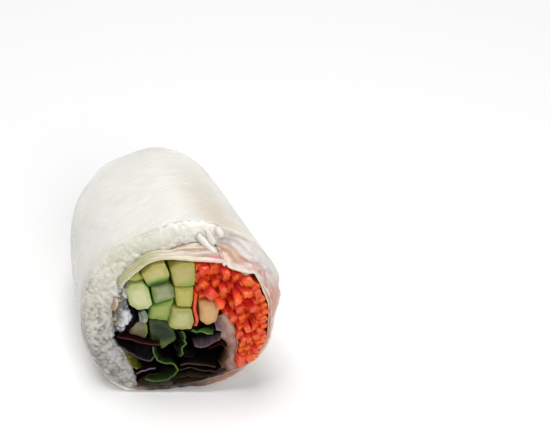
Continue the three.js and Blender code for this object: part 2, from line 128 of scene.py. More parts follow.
# The larger shreds that show: spot as seen on the cut, how proud, width, height and turn in degrees.
CARROT_SHREDS = (
    (7.3, 34.2, 0.6, 2.5, 2.5, 8), (6.7, 30.7, 0.3, 1.7, 1.7, 42), (9.6, 35, -1.2, 2.2, 1.8, -6),
    (12.3, 33.2, 1.6, 1.7, 1.8, 10), (11.2, 29, 1.6, 1.7, 1.6, 4), (8.3, 27.6, 0.9, 2.5, 2.7, 36),
    (10.1, 24.8, 2.4, 1.8, 2, -8), (14.2, 25.9, 3.6, 1.8, 1.6, -3), (16.6, 27.9, 2.2, 2.3, 1.7, 2),
    (19, 27.2, 0.8, 1.5, 2, 6), (17, 31.2, 1.4, 2.4, 2.2, 24), (14.9, 32.6, -0.6, 1.9, 2.2, -20),
    (14.2, 23.7, 1, 1.7, 1.5, 8), (17.6, 23.8, 0.9, 1.9, 1.9, 12), (19.3, 22, 0.6, 1.7, 2.1, 4),
    (12.8, 21.2, 1.3, 1.6, 2.1, -4), (15, 21.6, 0.6, 1.8, 1.7, 14), (11.5, 22, -0.2, 1.4, 2.6, 42),
    (19, 30, 0.2, 1.5, 1.8, 20), (18.3, 19, 0.9, 2.1, 2, -4), (16.3, 18.3, 1.4, 1.8, 2.4, 16),
    (14, 16.4, 0.7, 1.7, 3, -6), (18.2, 16, 0.9, 1.9, 1.8, 18), (16.4, 15.2, 0.6, 1.7, 1.8, -8),
    (15.9, 12.4, 0.2, 1.9, 1.7, 20), (14.1, 8.6, 1.4, 2.4, 3.2, 6), (16.3, 9.4, 1.2, 2.1, 2, 20),
    (17.7, 12, 0.9, 1.6, 1.8, 10), (14.6, 13.6, 0, 1.7, 1.7, -16), (14.2, 11.9, 0.4, 1.6, 1.7, 10),
    (19.3, 17.8, 1, 1.6, 1.9, 8), (18.7, 14.2, 1, 1.6, 1.8, 14), (20, 20.4, 0.8, 1.5, 1.9, 0),
    (20.1, 24.6, 0.6, 1.4, 1.9, 4),
)
LONE_SHRED_PATH = ((3.8, 29.8), (3.45, 27.5), (3.2, 25.3), (3.5, 22), (3, 20.2))

# The sheet starts as a flap that stands between carrot and lettuce: its front and back edges.
FLAP_FRONT = (
    (10.4, 22.4), (11.8, 20.6), (12.6, 18), (12.9, 15), (12.8, 12.8), (12.4, 10.6), (12, 9), (12.4, 7.2),
    (12, 5.2), (9.5, 4),
)
FLAP_BACK = (
    (7.6, 21.4), (8, 19.6), (8.4, 17), (9, 15.2), (10, 13.4), (10.3, 11.4), (9.8, 9.2), (9.2, 7.4),
    (8.4, 5.8), (7, 4.6),
)


# ---- Numbers: curves, outlines, noise and colours ----
def smoothstep(low, high, value):
    share = np.clip((value - low) / (high - low), 0, 1)
    return share * share * (3 - 2 * share)


def from_table(value, table):
    """Reads a table of places and amounts at any place."""
    return np.interp(value, *zip(*table))


def smoothed(values, width, mode="wrap"):
    """A row of values, each averaged with its neighbours; mode says how the row goes on past its ends."""
    return np.convolve(np.pad(values, width // 2, mode=mode), np.ones(width) / width, mode="valid")


def spaced_curve(knots, count, closed=False, steps=24):
    """Evenly spaced points on a smooth curve through the knots, in two or three dimensions."""
    knots = np.asarray(knots, float)
    if closed:
        line = np.vstack([knots[-1:], knots, knots[:2]])
    else:
        line = np.vstack([2 * knots[:1] - knots[1:2], knots, 2 * knots[-1:] - knots[-2:-1]])
    share = np.linspace(0, 1, steps, endpoint=False)[:, None]
    fine = []
    for a, b, c, d in zip(line, line[1:], line[2:], line[3:]):
        ab, bc, cd = (np.sqrt(np.linalg.norm(q - p)) for p, q in ((a, b), (b, c), (c, d)))
        leave = ((b - a) / ab - (c - a) / (ab + bc) + (c - b) / bc) * bc
        arrive = ((c - b) / bc - (d - b) / (bc + cd) + (d - c) / cd) * bc
        fine.append(
            b + leave * share + (3 * (c - b) - 2 * leave - arrive) * share**2
            + (2 * (b - c) + leave + arrive) * share**3
        )
    fine.append(line[-2][None])
    fine = np.vstack(fine)
    walked = np.concatenate([[0], np.cumsum(np.linalg.norm(np.diff(fine, axis=0), axis=1))])
    at = np.linspace(0, walked[-1], count, endpoint=not closed)
    return np.stack([np.interp(at, walked, fine[:, i]) for i in range(fine.shape[1])], axis=1)


def counter_clockwise(outline):
    outline = np.asarray(outline, float)
    x, z = outline[:, 0], outline[:, 1]
    area = np.sum(x * np.roll(z, -1) - np.roll(x, -1) * z)
    return outline if area > 0 else outline[::-1]


def closed_curve(knots, count, steps=24):
    return counter_clockwise(spaced_curve(knots, count, closed=True, steps=steps))


def side_normals(path):
    """Unit vectors of the section that lie square to a path in it."""
    along = np.gradient(path, axis=0)
    across = np.stack([along[:, 1], -along[:, 0]], axis=1)
    return across / np.linalg.norm(across, axis=1, keepdims=True)


def outward(outline):
    """Unit normals that point out of a closed counter-clockwise outline."""
    along = np.roll(outline, -1, axis=0) - np.roll(outline, 1, axis=0)
    normal = np.stack([along[:, 1], -along[:, 0]], axis=1)
    return normal / np.maximum(np.linalg.norm(normal, axis=1, keepdims=True), 1e-9)


def holds(outline, x, z):
    """Whether points lie inside a closed outline."""
    outline = np.asarray(outline, float)
    inside = np.zeros(np.shape(x), bool)
    for (ax, az), (bx, bz) in zip(outline, np.roll(outline, 1, axis=0)):
        if az == bz:
            continue
        crosses = (az > z) != (bz > z)
        inside ^= crosses & (x < ax + (bx - ax) * (z - az) / (bz - az))
    return inside


def ray_reach(points, directions, outline, most):
    """How far each point can go in its direction before it meets the outline."""
    outline = np.asarray(outline, float)
    reach = np.full(len(points), most)
    for a, b in zip(outline, np.roll(outline, -1, axis=0)):
        side = b - a
        across = directions[:, 0] * side[1] - directions[:, 1] * side[0]
        safe = np.where(np.abs(across) < 1e-9, 1e-9, across)
        gap = a - points
        distance = (gap[:, 0] * side[1] - gap[:, 1] * side[0]) / safe
        place_on_side = (gap[:, 0] * directions[:, 1] - gap[:, 1] * directions[:, 0]) / safe
        hit = (distance > 0) & (place_on_side >= 0) & (place_on_side <= 1)
        reach = np.where(hit & (distance < reach), distance, reach)
    return reach


def edge_distance(outline, x, z):
    """Distance from points to the nearest side of a closed outline."""
    best = np.full(np.shape(x), 1e9)
    for (ax, az), (bx, bz) in zip(outline, np.roll(outline, -1, axis=0)):
        length = max((bx - ax) ** 2 + (bz - az) ** 2, 1e-9)
        share = np.clip(((x - ax) * (bx - ax) + (z - az) * (bz - az)) / length, 0, 1)
        best = np.minimum(best, np.hypot(x - ax - share * (bx - ax), z - az - share * (bz - az)))
    return best


NOISE_ORDER = np.random.default_rng(11).permutation(256)
NOISE_SLOPES = np.random.default_rng(12).normal(size=(256, 3))
NOISE_SLOPES /= np.linalg.norm(NOISE_SLOPES, axis=1, keepdims=True)


def noise(points, size, seed):
    """Smooth noise from about -1 to 1, with features of the given size. The seed picks the pattern."""
    spots = np.asarray(points, float) / size + seed * 7.31
    cells = np.floor(spots).astype(int)
    inside = spots - cells
    ease = inside**3 * (inside * (inside * 6 - 15) + 10)
    total = np.zeros(spots.shape[:-1])
    for corner in np.ndindex(2, 2, 2):
        cell = (cells + corner) & 255
        pick = NOISE_ORDER[cell[..., 0]] + cell[..., 1]
        pick = NOISE_ORDER[pick & 255] + cell[..., 2]
        pick = NOISE_ORDER[pick & 255]
        weight = np.prod(np.where(corner, ease, 1 - ease), axis=-1)
        total += weight * np.sum(NOISE_SLOPES[pick] * (inside - corner), axis=-1)
    return 1.6 * total


def mottled(points, size, seed):
    """The same noise from about 0 to 1."""
    return 0.5 + 0.5 * noise(points, size, seed)


def on_section(x, z):
    """Points of the section as points in space, for noise that is the same all along the roll."""
    return np.stack([x, 0 * x, z], axis=-1)


def pleat_share(angle):
    share = np.zeros_like(angle)
    for middle, depth in END_PLEATS:
        turn = np.arctan2(np.sin(angle - middle), np.cos(angle - middle))
        share += depth * np.exp(-((turn / PLEAT_WIDTH) ** 2))
    return share


def place(x, y, z):
    """Where points of the section lie at a distance y along the roll."""
    x, y, z = np.broadcast_arrays(np.asarray(x, float), np.asarray(y, float), np.asarray(z, float))
    past = np.maximum(y - DOME_START, 0)
    along = np.clip(past / DOME_LENGTH, 0, 1)
    rise = z - AXIS_HEIGHT
    drawn = (1 - TAPER * y) * (1 - along**2 * pleat_share(np.arctan2(rise, x)))
    upper = drawn * (1 - along**DOME_ROUNDNESS) ** (1 / DOME_ROUNDNESS)
    lower = drawn * (1 - along**UNDERSIDE_ROUNDNESS) ** (1 / UNDERSIDE_ROUNDNESS)
    settled = DOME_WIDTH - TAPER * AXIS_SETTLE * (1 - np.exp(-past / AXIS_SETTLE))
    middle = AXIS_HEIGHT * np.where(y < DOME_START, 1 - TAPER * y, settled)
    return np.stack([x * upper, y, middle + rise * np.where(rise > 0, upper, lower)], axis=-1)


def cut_depth(cut, x, z):
    """How far along the roll a knife plane lies at points of the tapered section."""
    offset, side, lean = cut
    reach = side * np.asarray(x, float) + lean * np.asarray(z, float)
    return (offset + reach) / (1 + reach * TAPER)


def on_cut(cut, points, recess=0.0):
    """Points of the section on a knife plane, moved in by a recess."""
    x, z = np.asarray(points, float).T
    return place(x, cut_depth(cut, x, z) + recess, z)


# Spots on the cut are measured where the line of sight from the front meets the noodles' knife
# plane. One that stands proud of it moves along that line; the fillings rise from it with height.
SIGHT_SIDE, SIGHT_RISE = -0.248, 0.672
FILLING_RISE, FILLING_LEVEL = 0.13, 8.0


def sighted(spots, proud):
    """Where spots seen on the cut lie on the fillings' own knife plane, or proud of it."""
    spots = np.asarray(spots, float)
    z = spots[..., 1] + SIGHT_RISE * (proud - FILLING_RISE * FILLING_LEVEL)
    z = z / (1 - SIGHT_RISE * FILLING_RISE)
    x = spots[..., 0] + SIGHT_SIDE * (FILLING_RISE * (z - FILLING_LEVEL) + proud)
    return np.stack([x, z], axis=-1)


def lattice(random, outline, is_free, spacing, jitter):
    """Close-packed spots inside an outline, each moved a little at random."""
    low, high = np.min(outline, axis=0), np.max(outline, axis=0)
    rise = spacing * math.sqrt(0.75)
    spots = []
    for row, z in enumerate(np.arange(low[1], high[1], rise)):
        for x in np.arange(low[0] + spacing / 2 * (row % 2), high[0], spacing):
            spots.append((x, z))
    spots = np.array(spots) + jitter * spacing * random.uniform(-1, 1, (len(spots), 2))
    return spots[is_free(spots[:, 0], spots[:, 1])]


SCATTER_TRIES = 9000


def scatter(random, outline, is_free, count, spacing):
    """Seeded spots inside an outline, no two nearer than the spacing."""
    low, high = np.min(outline, axis=0), np.max(outline, axis=0)
    tried = low + random.random((SCATTER_TRIES, 2)) * (high - low)
    tried = tried[is_free(tried[:, 0], tried[:, 1])]
    kept = np.empty((0, 2))
    for spot in tried:
        if len(kept) >= count:
            break
        if not len(kept) or np.min(np.sum((kept - spot) ** 2, axis=1)) > spacing**2:
            kept = np.vstack([kept, spot])
    return kept


def linear(red, green, blue):
    """A colour given as the eye reads it, from 0 to 255, as the light it stands for."""
    def light(value):
        value /= 255
        return value / 12.92 if value <= 0.04045 else ((value + 0.055) / 1.055) ** 2.4
    return (light(red), light(green), light(blue))


def tones(**colours):
    """Named colours of one piece, each given as the eye reads it."""
    return SimpleNamespace(**{name: linear(*colour) for name, colour in colours.items()})


def blend_colours(first, second, share):
    share = np.asarray(share, float)[..., None]
    return np.asarray(first, float) * (1 - share) + np.asarray(second, float) * share


def layered(tint, *layers):
    """A colour with others laid over it in turn, each with how much of it covers."""
    for colour, share in layers:
        tint = blend_colours(tint, colour, share)
    return tint


# ---- Meshes ----
def grid_faces(rows, columns, closed=False):
    """Quads of a grid of points, row after row; closed joins the last column to the first."""
    row = np.arange(rows - 1)[:, None]
    column = np.arange(columns if closed else columns - 1)[None, :]
    beside = (column + 1) % columns
    a, b = row * columns + column, row * columns + beside
    return np.stack([a, b, b + columns, a + columns], axis=-1).reshape(-1, 4)


def rim_of(grid):
    """The points round the edge of a grid, in order."""
    return np.concatenate([grid[0], grid[1:-1, -1], grid[-1, ::-1], grid[-2:0:-1, 0]])


# At the lower right of the cut the soft roll leaves the floor and draws in: by how much in
# millimetres, at angles round the axis. Each pair below gives where it hardly starts and where it is
# in full, first by the distance from the axis and then by the depth behind the cut.
RIM_LIFT = (
    (-2.05, 0), (-1.88, 0.3), (-1.67, 0.9), (-1.57, 1.3), (-1.36, 1.6), (-0.9, 1.2), (-0.45, 0.9),
    (-0.05, 1), (0.12, 0.4), (0.26, 0),
)
RIM_LIFT_RADIUS = (7, 21)
RIM_LIFT_REACH = (18, 2)


def draw_in(points):
    """Moves points at the lower right of the cut towards the axis, less and less along the roll."""
    x, y, z = points.T
    angle = np.arctan2(z - AXIS_HEIGHT, x)
    amount = from_table(angle, RIM_LIFT)
    amount *= smoothstep(*RIM_LIFT_RADIUS, np.hypot(x, z - AXIS_HEIGHT))
    amount *= smoothstep(*RIM_LIFT_REACH, y - cut_depth(NOODLE_CUT, x, z))
    return points - np.stack([amount * np.cos(angle), 0 * angle, amount * np.sin(angle)], axis=1)


class Assembly:
    """Points, faces and point values of several shapes that become one mesh."""

    def __init__(self):
        self.points, self.faces, self.values, self.count = [], [], {}, 0

    def add(self, points, faces, **values):
        points = np.asarray(points, float).reshape(-1, 3)
        self.points.append(points)
        self.faces.extend((np.asarray(group) + self.count).tolist() for group in faces)
        for name, value in values.items():
            value = np.asarray(value, float)
            wanted = (len(points), 3) if value.shape and value.shape[-1] == 3 else (len(points),)
            self.values.setdefault(name, []).append(np.broadcast_to(value, wanted))
        self.count += len(points)

    def add_rings(self, rings, first_cap=True, last_cap=True, **values):
        """A closed skin through rings of equal length, with a point in the middle of each end."""
        rings = np.asarray(rings, float)
        rows, columns = rings.shape[:2]
        points = rings.reshape(-1, 3)
        faces = [grid_faces(rows, columns, closed=True)]
        column = np.arange(columns)
        beside = (column + 1) % columns
        extra = []
        for wanted, row in ((first_cap, 0), (last_cap, rows - 1)):
            if wanted:
                middle = len(points) + len(extra)
                extra.append(rings[row].mean(axis=0))
                pair = (beside, column) if row == 0 else (column, beside)
                faces.append(np.stack([pair[0] + row * columns, pair[1] + row * columns,
                                       np.full(columns, middle)], axis=1))
        caps = [row for wanted, row in ((first_cap, 0), (last_cap, rows - 1)) if wanted]
        if extra:
            points = np.vstack([points, extra])
        spread = {}
        for name, value in values.items():
            value = np.asarray(value, float)
            if value.shape[:2] == (rows, columns):
                ends = [value[row].mean(axis=0) for row in caps]
                value = value.reshape((rows * columns,) + value.shape[2:])
                value = np.concatenate([value, np.array(ends).reshape((len(caps),) + value.shape[1:])])
            spread[name] = value
        self.add(points, faces, **spread)

    def mesh(self, name):
        mesh = bpy.data.meshes.new(name)
        faces = [face for group in self.faces for face in group]
        metres = (draw_in(np.vstack(self.points)) + ROLL_ORIGIN) * MM
        mesh.from_pydata(metres.tolist(), [], faces)
        for label, parts in self.values.items():
            value = np.concatenate(parts)
            if value.ndim == 2:
                layer = mesh.color_attributes.new(label, "FLOAT_COLOR", "POINT")
                colour = np.concatenate([value, np.ones((len(value), 1))], axis=1)
                layer.data.foreach_set("color", colour.astype(np.float32).ravel())
            else:
                layer = mesh.attributes.new(label, "FLOAT", "POINT")
                layer.data.foreach_set("value", value.astype(np.float32))
        mesh.polygons.foreach_set("use_smooth", [True] * len(mesh.polygons))
        mesh.update()
        return mesh


def make_piece(name, assembly, material, slot, *nodes):
    """Turns an assembly into a piece that rides on the roll and stands for its CAD nodes."""
    piece = bpy.data.objects.new(name, assembly.mesh(name))
    piece.data.materials.append(material)
    bpy.context.scene.collection.objects.link(piece)
    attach(piece, "root")
    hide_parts(*nodes)


def sheet_normals(rows):
    """Unit normals of an open grid of points."""
    normal = np.cross(np.gradient(rows, axis=1), np.gradient(rows, axis=0))
    return normal / np.maximum(np.linalg.norm(normal, axis=2, keepdims=True), 1e-9)


def add_sheet(assembly, rows, thickness, normal=None, **values):
    """Closes a grid of points into a sheet of even thickness. Each value is single, or one a point."""
    half = (sheet_normals(rows) if normal is None else normal) * thickness / 2
    shape, size = rows.shape[:2], rows.shape[0] * rows.shape[1]
    front = grid_faces(*shape)
    rim = rim_of(np.arange(size).reshape(shape))
    beside = np.roll(rim, -1)
    side = np.stack([rim, rim + size, beside + size, beside], axis=1)
    for name, value in values.items():
        value = np.asarray(value, float)
        kind = (3,) if value.shape[-1:] == (3,) else ()
        value = np.broadcast_to(value, shape + kind).reshape((size,) + kind)
        values[name] = np.concatenate([value, value])
    points = np.concatenate([(rows + half).reshape(-1, 3), (rows - half).reshape(-1, 3)])
    assembly.add(points, [front, front[:, ::-1] + size, side[:, ::-1]], **values)


CORE_DEPTHS = (0, 3, 12, 60)   # of a core's rings, the last ones cut off at the fillings' end


def add_core(assembly, knots, count, inset, recess, **values):
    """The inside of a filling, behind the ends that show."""
    outline = closed_curve(knots, count)
    x, z = (outline - outward(outline) * inset).T
    fronts = cut_depth(FILLING_CUT, x, z) + recess
    rings = [place(x, np.minimum(fronts + depth, FILLING_END - 0.5), z) for depth in CORE_DEPTHS]
    assembly.add_rings(rings, **values)


def frames_along(path):
    """Two unit vectors across a path at each of its points, without twist."""
    along = np.gradient(path, axis=0)
    along /= np.linalg.norm(along, axis=1, keepdims=True)
    start = np.cross(along[0], [0.0, 0.0, 1.0])
    if np.linalg.norm(start) < 1e-3:
        start = np.cross(along[0], [1.0, 0.0, 0.0])
    first = [start / np.linalg.norm(start)]
    for direction in along[1:]:
        turned = first[-1] - direction * np.dot(first[-1], direction)
        first.append(turned / np.linalg.norm(turned))
    first = np.array(first)
    return first, np.cross(along, first)


STRAND_TIP = 0.9   # how far a strand's rounded end stands out, in radii
STRAND_TIP_RINGS = (0.2, 0.5, 0.8, 0.95)


def add_strand(assembly, path, radius, sides, tint):
    """A round strand along a path, with a softly rounded first end."""
    path = np.asarray(path, float)
    first, second = frames_along(path)
    turn = np.linspace(0, 2 * math.pi, sides, endpoint=False)
    circle = np.cos(turn)[None, :, None] * first[:, None] + np.sin(turn)[None, :, None] * second[:, None]
    out = path[0] - path[1]
    out /= np.linalg.norm(out)
    tip = [path[0] + out * (STRAND_TIP * radius * math.sqrt(1 - share**2)) + circle[0] * radius * share
           for share in STRAND_TIP_RINGS]
    rings = np.concatenate([tip, path[:, None] + circle * radius])
    assembly.add_rings(rings, tint=np.broadcast_to(tint, rings.shape))


def between(first, last, shares):
    """Rows of points from one rail to another, at shares of the way."""
    return np.array([first * (1 - share) + last * share for share in shares])


def strand_path(cut, spots):
    """The path of a strand from spots of the section, each with how proud of the cut it is."""
    return np.array([(x, float(cut_depth(cut, x, z)) - proud, z) for x, z, proud in spots])


# ---- Materials ----
def new_group(name, inputs, outputs):
    """An empty shader node group with named inputs (name, type, default) and outputs (name, type)."""
    group = bpy.data.node_groups.new(name, "ShaderNodeTree")
    for label, kind, default in inputs:
        socket = group.interface.new_socket(name=label, in_out="INPUT", socket_type=kind)
        socket.default_value = default
    for label, kind in outputs:
        group.interface.new_socket(name=label, in_out="OUTPUT", socket_type=kind)
    start = group.nodes.new("NodeGroupInput")
    end = group.nodes.new("NodeGroupOutput")
    return group, start, end


class Nodes:
    """Adds nodes to a tree and links them as they are named."""

    def __init__(self, tree):
        self.tree = tree

    def feed(self, socket, value):
        if isinstance(value, bpy.types.NodeSocket):
            self.tree.links.new(value, socket)
        else:
            socket.default_value = value

    def add(self, kind, inputs=None, **settings):
        node = self.tree.nodes.new(kind)
        for name, value in settings.items():
            setattr(node, name, value)
        for name, value in (inputs or {}).items():
            self.feed(node.inputs[name], value)
        return node

    def math(self, operation, a, b=0.0, clamp=False):
        return self.add("ShaderNodeMath", {0: a, 1: b}, operation=operation, use_clamp=clamp).outputs[0]

    def mix(self, share, a, b):
        return self.add("ShaderNodeMix", {0: share, 6: a, 7: b}, data_type="RGBA").outputs[2]

    def noise(self, where, size, detail):
        """Noise with features of a size in metres."""
        scale = self.math("DIVIDE", 1.0, size)
        return self.add("ShaderNodeTexNoise", {"Vector": where, "Scale": scale, "Detail": detail})

    def spread(self, value, low, high, to_low=0.0, to_high=1.0):
        """A value's range from low to high, stretched to another range."""
        return self.add("ShaderNodeMapRange", {
            "Value": value, "From Min": low, "From Max": high, "To Min": to_low, "To Max": to_high,
        }).outputs[0]


def colour4(colour):
    return (*colour[:3], 1.0)


def wet_surface_group():
    """Roughness that wanders between wet and dry, and fine relief, both at a size given in metres."""
    group, start, end = new_group(
        "Wet surface",
        [("Patch size", "NodeSocketFloat", 0.003), ("Grain size", "NodeSocketFloat", 0.0004),
         ("Wettest", "NodeSocketFloat", 0.15), ("Driest", "NodeSocketFloat", 0.45)],
        [("Roughness", "NodeSocketFloat"), ("Height", "NodeSocketFloat")],
    )
    nodes = Nodes(group)
    where = nodes.add("ShaderNodeTexCoord").outputs["Object"]
    patches = nodes.noise(where, start.outputs["Patch size"], 3.0).outputs["Fac"]
    grain = nodes.noise(where, start.outputs["Grain size"], 3.0).outputs["Fac"]
    roughness = nodes.spread(patches, 0.35, 0.65, start.outputs["Wettest"], start.outputs["Driest"])
    group.links.new(roughness, end.inputs["Roughness"])
    group.links.new(grain, end.inputs["Height"])
    return group


def tone_group():
    """A colour that drifts towards a lighter and a deeper tone over the surface."""
    group, start, end = new_group(
        "Tone drift",
        [("Colour", "NodeSocketColor", (1, 1, 1, 1)), ("Lighter", "NodeSocketColor", (1, 1, 1, 1)),
         ("Deeper", "NodeSocketColor", (0.5, 0.5, 0.5, 1)), ("Size", "NodeSocketFloat", 0.002),
         ("Amount", "NodeSocketFloat", 0.5)],
        [("Colour", "NodeSocketColor")],
    )
    nodes = Nodes(group)
    where = nodes.add("ShaderNodeTexCoord").outputs["Object"]
    drift = nodes.noise(where, start.outputs["Size"], 4.0).outputs["Fac"]
    colour = start.outputs["Colour"]
    for tone, furthest in (("Lighter", 0.72), ("Deeper", 0.28)):
        share = nodes.math("MULTIPLY", nodes.spread(drift, 0.5, furthest), start.outputs["Amount"])
        colour = nodes.mix(share, colour, start.outputs[tone])
    group.links.new(colour, end.inputs["Colour"])
    return group


def place_group(nodes, name, build, values):
    node = nodes.add("ShaderNodeGroup")
    node.node_tree = bpy.data.node_groups.get(name) or build()
    for label, value in values.items():
        nodes.feed(node.inputs[label], value)
    return node


def start_material(name, **constants):
    """A material with its Principled shader, whose plain constants are set on its own sockets."""
    material = bpy.data.materials.new(name)
    material.use_nodes = True
    nodes = Nodes(material.node_tree)
    shader = material.node_tree.nodes["Principled BSDF"]
    for label, value in constants.items():
        shader.inputs[label.replace("_", " ").title().replace("Ior", "IOR")].default_value = value
    shader.inputs["Subsurface Radius"].default_value = (1.0, 1.0, 0.9)
    return material, nodes, shader


def attribute(nodes, name, output="Color"):
    return nodes.add("ShaderNodeAttribute", attribute_name=name).outputs[output]


def finish_surface(nodes, shader, colour, lighter, deeper, *, drift, drift_size, patch, grain, wettest,
                   driest, relief):
    """Links the shared groups to a shader: drifting tone, wandering wetness and fine relief."""
    tone = place_group(nodes, "Tone drift", tone_group, {
        "Colour": colour, "Lighter": colour4(lighter), "Deeper": colour4(deeper),
        "Size": drift_size, "Amount": drift})
    wet = place_group(nodes, "Wet surface", wet_surface_group, {
        "Patch size": patch, "Grain size": grain, "Wettest": wettest, "Driest": driest})
    bump = nodes.add("ShaderNodeBump", {"Height": wet.outputs["Height"], "Distance": relief, "Strength": 1.0})
    nodes.feed(shader.inputs["Base Color"], tone.outputs["Colour"])
    nodes.feed(shader.inputs["Roughness"], wet.outputs["Roughness"])
    nodes.feed(shader.inputs["Normal"], bump.outputs[0])


def paper_material(colours):
    material, nodes, shader = start_material(
        "Rice paper", ior=1.4, subsurface_weight=0.35, subsurface_scale=0.0012, coat_weight=0.35,
        coat_roughness=0.22)
    finish_surface(nodes, shader, attribute(nodes, "tint"), colours.paper_light, colours.paper_shade,
                   drift=0.14, drift_size=0.005, patch=0.006, grain=0.0005, wettest=0.26, driest=0.4,
                   relief=0.00003)
    nodes.feed(shader.inputs["Alpha"], attribute(nodes, "cover", "Fac"))
    return material


def noodle_material(colours):
    material, nodes, shader = start_material(
        "Rice noodle", ior=1.4, subsurface_weight=0.85, subsurface_scale=0.0015, coat_weight=0.35,
        coat_roughness=0.2)
    finish_surface(nodes, shader, attribute(nodes, "tint"), colours.noodle_light, colours.noodle_shade,
                   drift=0.25, drift_size=0.003, patch=0.002, grain=0.0003, wettest=0.14, driest=0.34,
                   relief=0.00003)
    return material


def cucumber_material(colours):
    material, nodes, shader = start_material(
        "Cucumber", ior=1.38, subsurface_weight=0.3, subsurface_scale=0.0012, coat_weight=0.2,
        coat_roughness=0.15, specular_ior_level=0.3)
    skin = nodes.spread(attribute(nodes, "skin", "Fac"), 0.05, 0.95)
    rind = nodes.math("MULTIPLY", skin, 1.6, clamp=True)
    colour = nodes.mix(rind, attribute(nodes, "tint"), colour4(colours.cucumber_rind))
    colour = nodes.mix(nodes.spread(skin, 0.5, 0.95), colour, colour4(colours.cucumber_skin))
    finish_surface(nodes, shader, colour, colours.cucumber_light, colours.cucumber_rind,
                   drift=0.02, drift_size=0.002, patch=0.002, grain=0.00035, wettest=0.18, driest=0.42,
                   relief=0.00004)
    return material


def carrot_material(colours):
    material, nodes, shader = start_material(
        "Carrot", ior=1.38, subsurface_weight=0.25, subsurface_scale=0.0008, coat_weight=0.25,
        coat_roughness=0.2)
    # The deep colour grows with depth behind the cut end: painted shade in the gaps between shreds.
    depth = attribute(nodes, "depth", "Fac")
    colour = nodes.mix(depth, attribute(nodes, "tint"), colour4(colours.carrot_deep_and_shade))
    finish_surface(nodes, shader, colour, colours.carrot_light, colours.carrot_deep_and_shade,
                   drift=0.35, drift_size=0.0016, patch=0.0015, grain=0.0003, wettest=0.2, driest=0.45,
                   relief=0.00005)
    return material


def leaf_material(colours):
    material, nodes, shader = start_material(
        "Lettuce leaf", ior=1.4, specular_ior_level=0.05, coat_weight=0.0)
    finish_surface(nodes, shader, attribute(nodes, "tint"), colours.leaf_lit, colours.leaf_dark_and_shade,
                   drift=0.25, drift_size=0.003, patch=0.003, grain=0.0006, wettest=0.35, driest=0.6,
                   relief=0.0001)
    return material


# ---- Settings that a user would change ----
def length_property(name, description, default):
    return bpy.props.FloatProperty(name=name, description=description, default=default, min=0.0,
                                   unit="LENGTH", subtype="DISTANCE", precision=4)


def colour_property(name, description, red, green, blue):
    return bpy.props.FloatVectorProperty(name=name, description=description, subtype="COLOR", size=3,
                                         min=0.0, max=1.0, default=linear(red, green, blue))


class RollSizes(bpy.types.PropertyGroup):
    """Sizes of the roll's sheet and fillings."""

    paper: length_property("Paper", "Thickness of one turn of the wet rice paper", 0.0007)
    imprint: length_property("Imprint", "Height of the noodles' ridges in the paper", 0.00009)
    noodle_radius: length_property("Noodle radius", "Half the thickness of a rice noodle", 0.00074)
    noodle_spacing: length_property("Noodle spacing", "Distance between cut noodle ends", 0.0011)
    shred: length_property("Shred", "Width of a carrot shred", 0.0018)
    leaf: length_property("Leaf", "Thickness of a lettuce leaf", 0.00035)


class RollColours(bpy.types.PropertyGroup):
    """Colours of the roll's sheet and fillings."""

    paper: colour_property("Paper", "Rice paper over noodles", 250, 247, 236)
    paper_light: colour_property("Paper light", "The lightest rice paper", 255, 253, 247)
    paper_shade: colour_property("Paper shade", "Rice paper between two noodles", 214, 209, 196)
    paper_warm: colour_property("Paper over carrot", "Rice paper with carrot behind it", 226, 160, 140)
    paper_pink: colour_property("Paper pink", "Pink stain in the layers of the sheet", 236, 178, 176)
    # The edge colour is a painted highlight.
    paper_edge_highlight: colour_property("Paper edge", "The lit cut edge of the sheet", 255, 246, 224)
    noodle: colour_property("Noodle", "Cooked rice noodle", 240, 236, 222)
    noodle_light: colour_property("Noodle light", "The lightest noodles", 255, 254, 242)
    noodle_shade: colour_property("Noodle shade", "Noodles low down, in the shade", 186, 184, 180)
    cucumber_light: colour_property("Cucumber light", "The palest flesh", 226, 228, 178)
    cucumber_rind: colour_property("Cucumber rind", "Flesh right under the skin", 138, 176, 62)
    cucumber_skin: colour_property("Cucumber skin", "Dark green skin", 46, 84, 24)
    carrot: colour_property("Carrot", "Carrot shreds", 255, 104, 30)
    carrot_light: colour_property("Carrot light", "Cut ends in the light", 255, 138, 30)
    # The deep colour is partly a deeper carrot tone and partly painted shade in the gaps.
    carrot_deep_and_shade: colour_property("Carrot deep", "Sides and gaps between shreds", 228, 18, 58)
    # Near-black: partly the red lettuce's own colour, partly painted shade deep in the cut.
    leaf_dark_and_shade: colour_property("Leaf dark", "Red lettuce, almost black", 8, 5, 7)
    leaf_lit: colour_property("Leaf lit", "The same where light falls on it", 34, 25, 24)
    floor: colour_property("Floor", "The plain floor and backdrop", 250, 250, 250)


def settings():
    """The sizes in millimetres, and the colours."""
    group = bpy.context.scene.roll_sizes
    sizes = {name: getattr(group, name) / MM for name in RollSizes.__annotations__}
    return SimpleNamespace(**sizes), bpy.context.scene.roll_colours


def outer_outline(count, inset=0.0):
    outline = closed_curve(OUTER_OUTLINE, count)
    outline[:, 1] = np.maximum(outline[:, 1], 0.0)
    return outline - outward(outline) * inset


def cavity_outline(count, grown=0.0):
    outline = closed_curve(CAVITY_OUTLINE, count)
    return outline + outward(outline) * grown


# ---- Outer turn of the sheet ----
OUTER_COLUMNS, BARREL_RINGS, DOME_RINGS, FOLD_RINGS, BEND_RINGS = 420, 80, 86, 22, 18
# The outer turn folds in over the pressed layers of the sheet between these angles (in radians from
# the right-hand side); elsewhere its edge only curls in over the noodles.
FOLD_START, FOLD_END, FOLD_BLEND = -2.12, 1.16, 0.1
